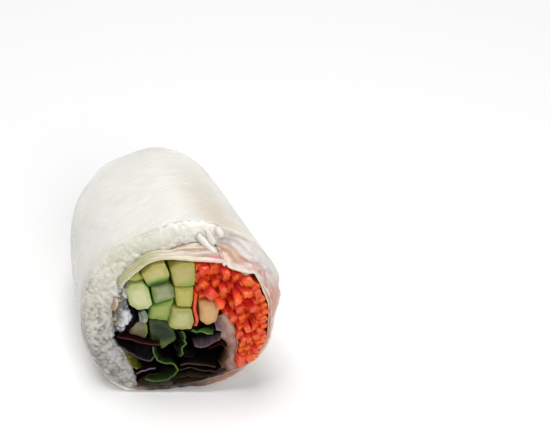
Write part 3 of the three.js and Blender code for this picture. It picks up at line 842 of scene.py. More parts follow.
# Over the noodles the sheet clings to their rounded shoulder: the shoulder's depth and width, and how
# far in over the cut the sheet reaches on top and at the left.
SHOULDER_DEPTH, SHOULDER_WIDTH = 2.1, 2.8
FILM_REACH_TOP, FILM_REACH_LEFT = 2.5, 1.0
FILM_END = 0.25   # width of its thin end
# The rim curls in by this radius, through this turn in radians.
CURL, CURL_TURN = 0.8, 1.35
NOTCH_PEAK = (16.9, 35.5)
# Where the sheet's own edge runs along the right side: its angle, and how far it is from the axis.
SHEET_EDGE, SHEET_EDGE_RADIUS = 0.27, 23
# Small lips of the rim: angle, half width as an angle, and how far they run back; and their height.
RIM_LIPS = ((0.28, 0.05, 2.0), (-2.55, 0.09, 2.5))
LIP_HEIGHT = 0.9
SPOKE_RADIUS = 4.2   # sets how many creases run to the middle of the closed end
# Bundles of noodles that show through: the distance between their ridges.
RIDGE_SPACING = 1.35
PRESSED_SEED = 23
DOME_HALF_WIDTH = 22
# The sheet's inner face: shares of the closed end and of the straight part at which its rings lie.
LINING_DOME, LINING_BARREL = (0.985, 0.9, 0.6, 0.2, 0.0), (0.7, 0.4, 0.2, 0.08, 0.0)
# Some of these tones are painted shade: on the flanks, in the pressed valleys, at the notch and on the lining
# by the leaves.
PAPER_TONES = tones(
    flank_tan=(214, 200, 180), flank_grey=(218, 214, 200), pressed_pearl=(246, 238, 232),
    pressed_pink=(240, 216, 206), crease_rose=(226, 176, 160), crease_cream=(248, 232, 222),
    crease_red=(232, 128, 140), valley_pink=(238, 212, 202), fold_tan=(222, 180, 150),
    over_carrot=(230, 186, 172), at_carrot=(236, 120, 84), over_leaves=(44, 28, 20),
    right_of_leaves=(190, 142, 124), left_of_leaves=(146, 112, 104), lining=(60, 42, 32),
)


def dome_shares(count):
    """Shares of the closed end's length at which rings lie, evenly spaced over its rounding."""
    turn = np.linspace(0, math.pi / 2, 400)
    along, width = np.sin(turn) ** (2 / 3), np.cos(turn) ** (2 / 3)
    steps = np.hypot(DOME_LENGTH * np.diff(along), DOME_HALF_WIDTH * np.diff(width))
    walked = np.concatenate([[0], np.cumsum(steps)])
    shares = np.interp(np.linspace(0, walked[-1], count + 1), walked, along)
    return shares[1:-1]


def strand_pattern(points):
    """From 0 in a groove to 1 on a ridge: noodles that lie under the paper in flowing bundles."""
    flow = 5.5 * noise(points, 17, 3) + 1.3 * noise(points, 8, 4) + 0.9 * points[..., 1]
    return 0.5 + 0.5 * np.cos(2 * math.pi * flow / RIDGE_SPACING)


def ring_normals(points):
    """Outward normals of a closed grid of rings."""
    around = np.roll(points, -1, axis=1) - np.roll(points, 1, axis=1)
    normal = np.cross(around, np.gradient(points, axis=0))
    return normal / np.maximum(np.linalg.norm(normal, axis=2, keepdims=True), 1e-9)


def shoulder_drop(inward, z):
    """How far behind the knife plane the noodles' rounded shoulder lies; it is lower near the floor."""
    depth = SHOULDER_DEPTH * (0.25 + 0.75 * smoothstep(2, 13, z))
    return depth * np.clip(1 - inward / SHOULDER_WIDTH, 0, 1) ** 2


def film_reach(x, z, angle):
    """How far in over the noodles the sheet reaches, with a ragged end."""
    left = np.maximum(smoothstep(1.9, 2.7, angle), smoothstep(-1.0, -2.0, angle))
    ragged = 1 + 0.35 * noise(on_section(x, z), 1.8, 39)
    return (FILM_REACH_TOP + (FILM_REACH_LEFT - FILM_REACH_TOP) * left) * ragged


def noodle_relief(sizes, x, z):
    """How far the noodle ends stand proud of their knife plane, and the bumps alone."""
    spots = np.stack([x, z], axis=-1).reshape(-1, 2)
    random, field = np.random.default_rng(NOODLE_SEED), outer_outline(180, -1.0)
    bumps = fused_ends(random, field, spots, sizes.noodle_spacing).reshape(np.shape(x))
    return 0.3 + bumps * (1 - 0.5 * smoothstep(20, 9, z) - 0.3 * smoothstep(31, 38, z)), bumps


def fold_target(x, z):
    """The point of the cavity's edge that each column of the outer turn folds in to."""
    rail = cavity_outline(600, -0.25)
    gap = np.hypot(x[:, None] - rail[:, 0], z[:, None] - rail[:, 1])
    to_x, to_z = (smoothed(side, 5) for side in rail[np.argmin(gap, axis=1)].T)
    to_x = to_x - 0.5 * smoothstep(14, 18, to_x) * smoothstep(33, 30, to_z) * smoothstep(8, 12, to_z)
    # The sheet's edge has a small peak at the right of the notch above the carrots.
    from_peak = np.hypot(to_x - NOTCH_PEAK[0], to_z - NOTCH_PEAK[1])
    return to_x, to_z + 0.6 * np.exp(-((from_peak / 0.8) ** 2))


def outer_rim():
    """The outer turn at the cut: its section, where it folds in, the knife plane and its own start."""
    outline = outer_outline(OUTER_COLUMNS)
    x, z = outline.T
    angle = np.arctan2(z - AXIS_HEIGHT, x)
    ragged = 0.08 * noise(on_section(x, z), 2.2, 14)
    folded = smoothstep(FOLD_START - FOLD_BLEND, FOLD_START + FOLD_BLEND, angle + ragged)
    folded *= smoothstep(FOLD_END + 2 * FOLD_BLEND, FOLD_END - 2 * FOLD_BLEND, angle + 2 * ragged)
    cut = cut_depth(NOODLE_CUT, x, z)
    start = cut + 0.44 * folded + shoulder_drop(0.0, z) * (1 - folded)
    return SimpleNamespace(
        x=x, z=z, normal=outward(outline), angle=angle, folded=folded, cut=cut, start=start)


def rim_bend(sizes, rim, turns):
    """Rings round the rim, which curls in where it folds and clings to the noodles elsewhere."""
    reach = film_reach(rim.x, rim.z, rim.angle)
    bend = []
    for turn in turns:
        curl = CURL * (1 - math.cos(CURL_TURN * turn))
        inward = curl * rim.folded + reach * turn * (1 - rim.folded)
        x, z = rim.x - rim.normal[:, 0] * inward, rim.z - rim.normal[:, 1] * inward
        rise, _ = noodle_relief(sizes, x, z)
        # The sheet spans the noodles softly and only its end sinks on to them.
        ends = smoothstep(0.65, 1.0, turn)
        rise = np.maximum((0.16 + 0.75 * rise) * (1 - ends) + rise * ends, rise + 0.02)
        clinging = cut_depth(NOODLE_CUT, x, z) + shoulder_drop(inward, z)
        clinging -= rise * np.clip(inward / 0.6, 0, 1)
        curled = rim.start - 0.55 * CURL * math.sin(CURL_TURN * turn)
        bend.append((x, curled * rim.folded + clinging * (1 - rim.folded), z))
    return bend


def rim_fold(rim, bend_end):
    """Rings of the fold from its edge out to the rim, their lining, how far in they lie, and valleys that
    take painted shade.

    Over the noodles there is no fold: there the rings close up into the thin end of the sheet.
    """
    from_x, from_y, from_z = bend_end
    folded, field = rim.folded, outer_outline(180, -1.0)
    edge_x, edge_z = fold_target(rim.x, rim.z)
    to_x = edge_x * folded + (from_x - FILM_END * rim.normal[:, 0]) * (1 - folded)
    to_z = np.maximum(edge_z, 0.6) * folded + (from_z - FILM_END * rim.normal[:, 1]) * (1 - folded)
    fold_y = cut_depth(FILLING_CUT, edge_x, edge_z) - 0.25
    width = np.hypot(to_x - from_x, to_z - from_z)
    sag = 1 + 3 * smoothstep(0.87, 1.12, rim.angle)
    rings, lining, across, valleys = [], [], [], []
    for share in np.linspace(1, 0, FOLD_RINGS, endpoint=False):
        x, z = from_x + (to_x - from_x) * share, from_z + (to_z - from_z) * share
        film_y = from_y + 0.3 * share
        y = (from_y + (fold_y - from_y) * share**sag) * folded + film_y * (1 - folded)
        y = from_y + (y - from_y) * smoothstep(0.0, 0.2, share)
        ring = np.stack([x, y, z], axis=1)
        crumple = 0.42 * noise(ring, 2.4, 15) + 0.2 * noise(ring, 1.0, 16)
        pleats = 0.16 * np.sin(2 * math.pi * width * share / 1.4 + 4 * noise(ring, 5, 17))
        ring[:, 1] -= (crumple + pleats) * folded * math.sin(math.pi * share) ** 0.6
        over_ends = folded * smoothstep(0.25, 0.55, rim.angle) * math.sin(math.pi * min(share / 0.8, 1.0))
        random = np.random.default_rng(PRESSED_SEED)
        pressed_ends = fused_ends(random, field, ring[:, [0, 2]], RIDGE_SPACING)
        ring[:, 1] -= 0.6 * pressed_ends * over_ends
        ring[:, 1] -= 0.45 * folded * math.exp(-(((1 - share) / 0.08) ** 2))
        rings.append(place(*ring.T))
        lining.append(place(ring[:, 0], ring[:, 1] + 0.4, ring[:, 2]))
        across.append(share * folded)
        # Valleys between the pressed noodle ends, where painted shade goes.
        valleys.append(over_ends * smoothstep(0.0, -0.45, pressed_ends))
    return rings, lining, across, valleys


def outer_relief(sizes, points, angle, past_rim, past_start, strands, ending, over_noodles):
    """How far the outer turn stands out over its smooth shape, at each point."""
    along = np.clip((points[..., 1] - DOME_START) / DOME_LENGTH, 0, 1)
    calm = smoothstep(1.0, 0.93, along)
    spoke = SPOKE_RADIUS * np.stack([np.cos(angle), np.sin(angle), 0 * angle], axis=1) + 0 * points
    creases = np.abs(noise(spoke, 1.0, 6)) * smoothstep(0.55, 0.95, along)
    shown = 0.25 + 0.75 * smoothstep(-0.1, 0.5, noise(points, 14, 9)) * smoothstep(6, 16, past_rim)
    relief = sizes.imprint * (strands - 0.5) * 2 * calm * shown
    relief += 0.2 * noise(points, 11, 1) + 0.03 * noise(points, 3.2, 2)
    bumps = np.abs(noise(points, 1.5, 29)) - 0.25
    relief += 0.5 * bumps * over_noodles * np.exp(-past_start / 2.2) * (1 - ending)
    relief -= 0.55 * creases * smoothstep(1.0, 0.975, along)
    # The sheet's own edge runs along the right side and makes a low step.
    step = (angle - SHEET_EDGE - 0.05 * noise(points, 12, 5)) * SHEET_EDGE_RADIUS
    relief += 0.38 * smoothstep(-0.35, 0.05, step) * smoothstep(16, 5, step) * smoothstep(0.6, 0.2, along)
    for middle, spread, length in RIM_LIPS:
        relief += LIP_HEIGHT * np.exp(-((angle - middle) / spread) ** 2) * np.exp(-past_rim / length)
    return relief * smoothstep(1.0, 0.985, along) * (1 - ending)


def build_outer_paper(sizes, colours):
    rim = outer_rim()
    turns = np.linspace(1, 0.06, BEND_RINGS)
    bend = rim_bend(sizes, rim, turns)
    rings, fold_lining, across, valleys = rim_fold(rim, bend[0])
    rings += [place(*ring) for ring in bend]
    for share in np.linspace(0, 1, BARREL_RINGS)[:-1]:
        rings.append(place(rim.x, rim.start * (1 - share) + DOME_START * share, rim.z))
    for share in [0.0, *dome_shares(DOME_RINGS)]:
        rings.append(place(rim.x, DOME_START + share * DOME_LENGTH, rim.z))
    points = np.array(rings)
    behind = np.zeros((len(points) - FOLD_RINGS, OUTER_COLUMNS))
    across, valleys = np.concatenate([across, behind]), np.concatenate([valleys, behind])
    ending = np.zeros(points.shape[:2])
    ending[:FOLD_RINGS] = 1 - rim.folded
    ending[FOLD_RINGS:FOLD_RINGS + BEND_RINGS] = turns[:, None] * (1 - rim.folded)
    strands = strand_pattern(points)
    over_noodles = smoothstep(1.2, 1.45, rim.angle) + smoothstep(-2.2, -2.5, rim.angle)
    past_rim = np.maximum(points[..., 1] - rim.cut, 0)
    past_start = np.maximum(points[..., 1] - rim.start, 0)
    relief = outer_relief(sizes, points, rim.angle, past_rim, past_start, strands, ending, over_noodles)
    relief[:FOLD_RINGS] = 0
    points = points + ring_normals(points) * relief[..., None]
    points[..., 2] = np.maximum(points[..., 2], 0.0)
    by_noodles = over_noodles * np.maximum(ending, smoothstep(4.5, 0.3, past_start) * (across <= 0))
    tint, cover = outer_paper_tint(colours, points, past_rim, strands, across, by_noodles, valleys)
    cover = cover - 0.75 * ending * over_noodles
    thickness = sizes.paper * (0.25 + 0.75 * smoothstep(0.5, 4.0, rim.z))
    x = rim.x - rim.normal[:, 0] * thickness
    z = np.maximum(rim.z - rim.normal[:, 1] * thickness, 0.15)
    lining = [place(x, DOME_START + share * (DOME_LENGTH - sizes.paper), z) for share in LINING_DOME]
    lining += [place(x, rim.start * (1 - share) + DOME_START * share, z) for share in LINING_BARREL]
    plain = np.ones((len(lining), OUTER_COLUMNS))
    lining = np.concatenate([lining, fold_lining[::-1]])
    lining[..., 2] = np.maximum(lining[..., 2], 0.15)
    # Painted shade: the sheet's inner face turns dark brown low on the left, by the leaves.
    shade_under_leaves = smoothstep(8, 4, rim.z) * smoothstep(-15, -12.5, rim.x) * plain
    lining_tint = blend_colours(colours.paper[:], PAPER_TONES.lining, shade_under_leaves)
    assembly = Assembly()
    assembly.add_rings(np.concatenate([lining, points]),
                       tint=np.concatenate([lining_tint, tint[:FOLD_RINGS][::-1], tint]),
                       cover=np.concatenate([plain, cover[:FOLD_RINGS][::-1], cover]))
    return assembly


def outer_paper_tint(colours, points, past_rim, strands, across, by_noodles, valleys):
    """Colour and cover of the outer turn: white over noodles, warm over carrot, dark over leaves."""
    x, z = points[..., 0], points[..., 2]
    near = np.exp(-past_rim / 7)
    on_face = smoothstep(0.0, 0.12, across)
    mottle, fine = mottled(points, 6, 8), mottled(points, 1.8, 18)
    streaks = noise(points * [0.16, 1.0, 0.4], 0.9, 36)
    # Painted shade on the upper right flank, with some of the carrot behind the sheet showing through.
    shaded_flank = smoothstep(3, 12, x) * smoothstep(20, 30, z) * smoothstep(42, 6, past_rim)
    shaded_flank *= 1 - 0.3 * smoothstep(13, 17, x)
    tint = layered(
        colours.paper[:],
        (colours.paper_light[:], 0.7 * mottle),
        (colours.paper_shade[:], 0.2 * (1 - strands) * (0.2 + 0.8 * mottle)),
        (colours.paper_shade[:], np.clip(0.05 + 0.2 * streaks, 0, 0.3)),
        (PAPER_TONES.flank_tan, 0.68 * shaded_flank),
        # Painted shade down the left flank.
        (PAPER_TONES.flank_grey, 0.55 * smoothstep(-12, -21, x) * smoothstep(40, 22, z)),
        (noodle_tint(colours, x, z), 0.7 * by_noodles),
    )
    creased = mottled(points * [0.5, 1.5, 0.5], 0.9, 38)
    strip = layered(
        PAPER_TONES.crease_rose,
        (PAPER_TONES.crease_cream, smoothstep(0.4, 0.65, creased)),
        (PAPER_TONES.crease_red, 0.6 * smoothstep(0.4, 0.2, creased)),
    )
    # Painted shade, tan, in the recess between the noodles and the pressed layers near the notch.
    by_notch = np.exp(-(((x - 12.8) / 2.3) ** 2 + ((z - 39.9) / 1.3) ** 2) ** 1.5)
    pressed = layered(
        PAPER_TONES.pressed_pearl,
        (PAPER_TONES.pressed_pink, 0.7 * smoothstep(0.45, 0.75, fine)),
        (strip, smoothstep(0.45, 0.7, across + 0.1 * (fine - 0.5))),
        # Painted shade, pink, in the valleys between the pressed noodle ends.
        (PAPER_TONES.valley_pink, 0.4 * valleys),
        (PAPER_TONES.fold_tan, 0.9 * by_notch),
    )
    glow = layered(
        PAPER_TONES.over_carrot,
        (colours.paper_warm[:], fine),
        (PAPER_TONES.at_carrot, 0.7 * smoothstep(0.5, 1.0, across)),
    )
    under = layered(
        PAPER_TONES.over_leaves,
        (PAPER_TONES.right_of_leaves, np.clip(smoothstep(-1.0, 12.0, x) + 0.25 * (fine - 0.5), 0, 1)),
        (PAPER_TONES.left_of_leaves, smoothstep(-8.5, -11.5, x)),
    )
    by_pressed = smoothstep(0.6, 1.4, smoothstep(9, 14, x) + 0.9 * on_face) * smoothstep(18, 26, z) * on_face
    by_carrot = smoothstep(13, 19, x) * smoothstep(35, 28, z) * smoothstep(3, 8, z)
    by_leaves = smoothstep(9.0, 5.0, z) * smoothstep(-15, -12.5, x) * smoothstep(18, 14, x)
    tint = layered(
        tint,
        (pressed, by_pressed),
        (glow, by_carrot * (0.08 + 0.55 * near + 0.35 * on_face)),
        (under, by_leaves * (0.04 + 0.5 * near + 0.46 * on_face)),
        # Painted highlight along the fold's lit edge.
        (colours.paper_edge_highlight[:], smoothstep(0.88, 0.97, across) * smoothstep(6, 14, z)),
    )
    return tint, 1 - 0.12 * on_face


# ---- Inner turn, pressed layers and flap ----
INNER_COLUMNS = 340
# Depths of the rings behind the cut: shares of the inner face's length, and along the outside.
INNER_FACE_SHARES = (1.0, 0.6, 0.3, 0.12, 0.05, 0.02)
INNER_BACK_DEPTHS = (*np.arange(0.15, 6.0, 0.16), 6.4, 7, 8, 10, 20, FILLING_END)
EDGE_RINGS, EDGE_ROUND = 13, 0.12
# Colours of the pressed layers on top, at depths behind the cut edge.
STRIP_LAYERS = (
    (0.0, (255, 242, 214)), (0.7, (242, 224, 192)), (1.2, (204, 184, 168)), (2.0, (218, 202, 188)),
    (2.8, (194, 172, 158)), (3.2, (238, 224, 202)), (3.6, (206, 184, 150)), (5.0, (202, 180, 146)),
    (7.0, (194, 172, 138)),
)
# The left and inside tones are painted shade.
LAYER_TONES = tones(
    strip_cream=(230, 210, 178), strip_white=(248, 238, 220), strip_green=(192, 194, 136),
    strip_pink=(240, 204, 188), layers_green=(204, 200, 150), line_white=(248, 238, 218),
    line_brown=(190, 152, 128), thread_pink=(238, 150, 168), thread_rose=(236, 92, 138),
    back_tan=(206, 166, 136), left_brown=(168, 140, 100), left_tan=(208, 182, 140),
    inside_dark=(40, 28, 22), inside_orange=(232, 104, 66),
)
# The flap: how far its front edge stands proud, how far it runs back, and its grid.
FLAP_PROUD, FLAP_DEPTH = 0.2, 2.4
FLAP_COLUMNS, FLAP_ROWS = 70, 16
FLAP_TONES = tones(
    dull=(190, 134, 116), light=(226, 182, 164), upper=(128, 92, 98), carrot_glow=(206, 122, 92),
)


def wall_thickness(inner, normal, sizes):
    """How thick the sheet's layers are outside the cavity: one turn, or all that is pressed together."""
    band = outer_outline(180, sizes.paper + 0.1)
    x, z = inner.T
    to_noodles = ray_reach(inner, normal, SLEEVE_OUTLINE, 9.0)
    to_outside = np.where(holds(band, x, z), ray_reach(inner, normal, band, 9.0), 0.12)
    low = np.maximum(smoothstep(-11.5, -10.0, x), smoothstep(7, 5, z))
    pressed = np.where(z > 20, smoothstep(10.0, 15.0, x), low)
    reach = sizes.paper + (np.clip(np.minimum(to_noodles, to_outside), 0.12, 7.0) - sizes.paper) * pressed
    return smoothed(reach, 5), pressed


def build_inner_paper(sizes, colours):
    inner = cavity_outline(INNER_COLUMNS)
    normal = outward(inner)
    thickness, pressed = wall_thickness(inner, normal, sizes)
    x, z = inner.T
    wave = 0.22 * noise(on_section(x, z), 3.4, 21) + 0.1 * noise(on_section(x, z), 1.2, 22)
    tucked = smoothstep(25.6, 24.2, z) + smoothstep(27.2, 28.2, z) * smoothstep(32.4, 31.0, z)
    tucked *= smoothstep(-10.0, -11.5, x)
    swell = np.maximum(noodle_clearance(x, z) - 0.15, 0)
    behind_noodles = cut_depth(NOODLE_CUT, x, z) + 1.3
    front_inner = (cut_depth(FILLING_CUT, x, z) + wave) * (1 - tucked) + behind_noodles * tucked
    rings, values = [], []

    def add_ring(across, y, cover, edge, layer):
        rings.append(place(x + normal[:, 0] * across, y, np.maximum(z + normal[:, 1] * across, 0.25)))
        values.append([np.broadcast_to(value, INNER_COLUMNS) for value in (cover, edge, layer)])

    for share in INNER_FACE_SHARES:
        add_ring(0.0, front_inner * (1 - share) + FILLING_END * share, 1.0, 0.0, 0.0)
    # The edge values mark a painted highlight: strong on the rounded cut edge, fading across the layers and
    # behind.
    add_ring(0.04, front_inner + EDGE_ROUND, 0.9, 0.7, 0.0)
    outer_front = cut_depth(NOODLE_CUT, x + normal[:, 0] * thickness, z + normal[:, 1] * thickness)
    for share in np.linspace(0, 1, EDGE_RINGS):
        across = EDGE_ROUND + (thickness - EDGE_ROUND) * share
        slide = pressed * smoothstep(0.1, 1.0, share)
        y = front_inner * (1 - slide) + (outer_front + 0.35) * slide
        y = y + 0.9 * pressed * smoothstep(0.0, 0.2, share)
        spot = np.stack([x + normal[:, 0] * across, y, z + normal[:, 1] * across], axis=1)
        crumple = 0.5 * noise(spot, 2.2, 23) + 0.25 * noise(spot, 0.9, 24)
        y = y + crumple * smoothstep(0.08, 0.3, share) * pressed
        add_ring(across, y, 0.9, math.exp(-((share * 2.2) ** 2)), share)
    back_of = front_inner * (1 - pressed) + (outer_front + 0.35) * pressed
    for depth in INNER_BACK_DEPTHS:
        y = np.minimum(back_of + depth, FILLING_END)
        spot = np.stack([x, y, z], axis=1)
        fold = np.sin(2 * math.pi * (y - front_inner) / 1.25 + 3.0 * noise(spot, 6, 25))
        line = noise(np.stack([0.14 * x, depth + 0 * x, 0.14 * z], axis=1), 0.45, 28)
        across = thickness + (0.16 * fold + 0.14 * line) * np.exp(-depth / 3.5) * smoothstep(0.2, 0.8, depth)
        shrunk = 0.35 + (thickness - 0.35) * smoothstep(4, 1, depth)
        across = across * (1 - pressed) + shrunk * pressed
        across = across + swell * smoothstep(0.3, 4.4, depth) * smoothstep(16, 8, depth)
        add_ring(across, y, 0.86 + 0.14 * smoothstep(4, 9, depth), 0.25 * math.exp(-depth * 2), 0.5)
    rings = np.array(rings)
    cover, edge, layer = np.array(values).transpose(1, 0, 2)
    tint = inner_paper_tint(colours, rings, x, z, edge, layer)
    last, column = (len(rings) - 1) * INNER_COLUMNS, np.arange(INNER_COLUMNS)
    beside = (column + 1) % INNER_COLUMNS
    faces = [grid_faces(len(rings), INNER_COLUMNS, closed=True),
             np.stack([last + column, last + beside, beside, column], axis=1)]
    assembly = Assembly()
    assembly.add(rings, faces, tint=tint.reshape(-1, 3), cover=cover.reshape(-1))
    return assembly


def inner_paper_tint(colours, points, x, z, edge, layer):
    """Tan and streaked on top, pink round the carrot; painted shade makes it brown at the left and dark brown
    under the lettuce and on the cavity's low inner faces, which turn orange by the carrot; a painted
    highlight lies along the cut edge.
    """
    mottle = mottled(points, 2.6, 26)
    streak = mottled(points * [0.22, 2.0, 1.0], 1.1, 27)
    by_carrot = smoothstep(3, 9, x) * smoothstep(4, 9, z)
    by_cucumber = smoothstep(4, -6, x) * smoothstep(25, 30, z)
    left = smoothstep(-8, -12, x) * smoothstep(29, 26, z)
    low = smoothstep(9, 4, z) * smoothstep(-15, -12, x)
    back = points[..., 1] - cut_depth(FILLING_CUT, x, z)
    on_top = smoothstep(27, 31, z) * smoothstep(0.1, 0.3, back) * (0.35 + 0.65 * smoothstep(-6, 4, x))
    line = noise(np.stack([0.14 * points[..., 0], back, 0.14 * points[..., 2]], axis=-1), 0.45, 28)
    thread = noise(np.stack([0.1 * points[..., 0], back, 0.1 * points[..., 2]], axis=-1), 0.5, 34)
    thread = smoothstep(0.25, 0.5, thread) * smoothstep(5, 9, x)
    rosy = smoothstep(6.8, 8.6, x) * smoothstep(13.6, 12.0, x) * np.exp(-(((back - 1.2) / 0.3) ** 2))
    # Inner faces of the cavity, low down or at the right, which take the painted shade or the orange below.
    inside = ((layer == 0) & (edge < 0.5)) * np.maximum(smoothstep(22, 16, z), smoothstep(10, 13, x))
    wander = back + 0.25 * noise(points * [0.3, 0.0, 0.3], 2.0, 35)
    depths, layers = zip(*[(depth, linear(*colour)) for depth, colour in STRIP_LAYERS])
    banded = np.stack([np.interp(wander, depths, channel) for channel in zip(*layers)], axis=-1)
    banded = blend_colours(banded, LAYER_TONES.layers_green, 0.75 * smoothstep(0, -7, x))
    return layered(
        LAYER_TONES.strip_cream,
        (LAYER_TONES.strip_white, smoothstep(0.4, 0.62, streak)),
        (LAYER_TONES.strip_green, 0.95 * by_cucumber * (1 - 0.35 * streak)),
        (LAYER_TONES.strip_pink, by_carrot * (0.2 + 0.5 * streak)),
        (banded, on_top * 0.85),
        (LAYER_TONES.line_white, on_top * smoothstep(0.12, 0.35, line) * 0.6),
        (LAYER_TONES.line_brown, on_top * smoothstep(-0.12, -0.42, line) * 0.6),
        (LAYER_TONES.thread_pink, on_top * thread * 0.7),
        (LAYER_TONES.thread_rose, 0.85 * rosy),
        (LAYER_TONES.back_tan, smoothstep(9, 11.5, x) * smoothstep(2.6, 3.4, back)),
        # Painted shade: brown and tan mottle at the left, where noodles lie in shade under the sheet.
        (blend_colours(LAYER_TONES.left_brown, LAYER_TONES.left_tan, mottle), left),
        # Painted shade: the cavity's low inner faces and the sheet under the lettuce go dark brown; at the
        # right, by the carrot, they are orange instead.
        (blend_colours(LAYER_TONES.inside_dark, LAYER_TONES.inside_orange, smoothstep(10, 13, x)),
         0.9 * np.maximum(low, inside)),
        # Painted highlight on the cut edge, damped where painted shade lies at the left and low down.
        (colours.paper_edge_highlight[:], edge * (1 - 0.85 * np.maximum(low, left))),
    )


def build_flap(sizes):
    front = sighted(spaced_curve(FLAP_FRONT, FLAP_COLUMNS), FLAP_PROUD)
    back = sighted(spaced_curve(FLAP_BACK, FLAP_COLUMNS), -FLAP_DEPTH)
    front, back = on_cut(FILLING_CUT, front, -FLAP_PROUD), on_cut(FILLING_CUT, back, FLAP_DEPTH)
    depths = np.linspace(0, 1, FLAP_ROWS)
    rows = between(front, back, depths)
    rows[..., 0] += 0.35 * noise(rows, 2.6, 31)
    rows[..., 1] += 0.3 * noise(rows, 2.0, 32) * (1 - depths)[:, None]
    tint = layered(
        FLAP_TONES.dull,
        (FLAP_TONES.light, smoothstep(0.3, 0.7, mottled(rows, 2.0, 33))),
        (FLAP_TONES.upper, smoothstep(15, 19, rows[..., 2]) * smoothstep(0.1, 0.9, depths)[:, None]),
        (FLAP_TONES.carrot_glow, 0.5 * smoothstep(0.35, 0.0, depths)[:, None]),
    )
    assembly = Assembly()
    add_sheet(assembly, rows, sizes.paper * 0.8, tint=tint, cover=0.85)
    return assembly


# ---- Noodles ----
# How far the noodles reach in over the inner turn on the left, at heights up the roll.
NOODLE_OVERHANG = (
    (16, 0.9), (18.5, 0.9), (20.5, 0.7), (24, 0.7), (26, 1.1), (27.6, 2.2), (30, 2.5), (32, 2.8),
    (34, 2.3), (36, 1.1), (37.5, 0.3), (38.5, 0),
)
# How far the noodles stay clear of the inner turn on top (or hang over it, below zero), at places
# from left to right.
NOODLE_CLEARANCE = (
    (-9, 0), (-7, -1), (-5, -1.5), (-2.6, -0.9), (-0.8, -0.2), (1, 1), (3, 1.9), (4.7, 2.5), (8.3, 2.7),
    (10.2, 2.2), (11.6, 0.5), (12.4, 0),
)
# Where the crescent of noodles ends, at the top right and at the bottom left.
CRESCENT_TOP, CRESCENT_LOW = (21.4, 31.6), (-12.9, -3.0)
CRESCENT_COLUMNS, CRESCENT_ROWS = 560, 50
# Depths along the roll that the body of the bundle passes through, behind its uneven front.
BUNDLE_DEPTHS = (-20.0, 12.0, 24.0, 34.0, 42.0)
NOODLE_SEED, CLUMP_SEED = 7, 17
BUMP_DEPTH = 0.38   # how deep the valleys between the fused ends are
BUMP_RADIUS = 0.56   # of the spacing between the ends
BUMP_FUSING = 10   # how sharply one end parts from the next
CHUNK = 4000   # points worked out at a time
DRAGGED_SHARE = 0.14   # of the strands, those the knife dragged over
# Ends that hang over the inner turn at the top: radius, and spots along them as seen on the noodles'
# knife plane, each with how proud it is.
HANGING_NOODLES = (
    (1.0, ((6.4, 43.9, -0.4), (7.2, 42.7, 0.1), (8.3, 41.1, 0.7), (9.7, 39.3, 1.3))),
    (0.85, ((8.5, 45.3, -0.6), (8.9, 44.0, -0.1), (9.2, 42.8, 0.2), (9.6, 41.8, 0.4))),
    (0.9, ((10.8, 45.6, -0.9), (11.2, 44.8, -0.5), (11.6, 43.9, -0.2))),
)
# The small clump's rails from top to bottom, as seen on the cut: next to the sheet and next to the leaves.
CLUMP_LEFT = (
    (-12.3, 30.2), (-12.9, 28.6), (-13.7, 27), (-14.6, 25.4), (-15.5, 23.6), (-15.9, 21.6), (-16, 19.8),
    (-16, 18.2), (-15.4, 17),
)
CLUMP_RIGHT = (
    (-10.9, 30.6), (-10.9, 28.6), (-11.1, 27.2), (-11.3, 26), (-11.4, 24.8), (-11.5, 23.6), (-11.1, 22.4),
    (-11, 21.2), (-11.9, 19.8), (-13, 18.2), (-14.2, 16.8),
)
CLUMP_SPACING = 1.15
CLUMP_DEPTH = 8.0
CLUMP_COLUMNS, CLUMP_ROWS = 130, 30
# Single noodles among the fillings: spots along them as seen on the cut, and how proud.
LOOSE_NOODLES = (
    ((-8.2, 23.2, -0.2), (-7.9, 22.3, 0.0), (-8.0, 21.3, 0.0), (-8.6, 20.5, -1.2)),
    ((-8.8, 23.0, -0.8), (-8.7, 22.0, -0.6), (-8.9, 21.0, -0.8), (-9.4, 20.6, -2.2)),
)
# Of these, the top white is painted light, and the left grey, valley, low groove and loose tones are painted
# shade.
NOODLE_TONES = tones(
    greenish=(208, 210, 180), top_white=(255, 252, 238), left_grey=(212, 206, 194),
    valley=(212, 210, 196), low_groove=(176, 174, 172), hanging=(246, 236, 224), loose=(116, 130, 116),
)
# The clump's tones are painted shade, lighter on the lit tips.
CLUMP_TONES = tones(
    cool_dark=(122, 126, 132), cool_light=(222, 225, 232), warm_dark=(128, 112, 94),
    warm_light=(178, 166, 150), upper=(206, 212, 184), body=(122, 120, 118),
)


def noodle_clearance(x, z):
    return from_table(x, NOODLE_CLEARANCE) * smoothstep(34.5, 37.0, z)


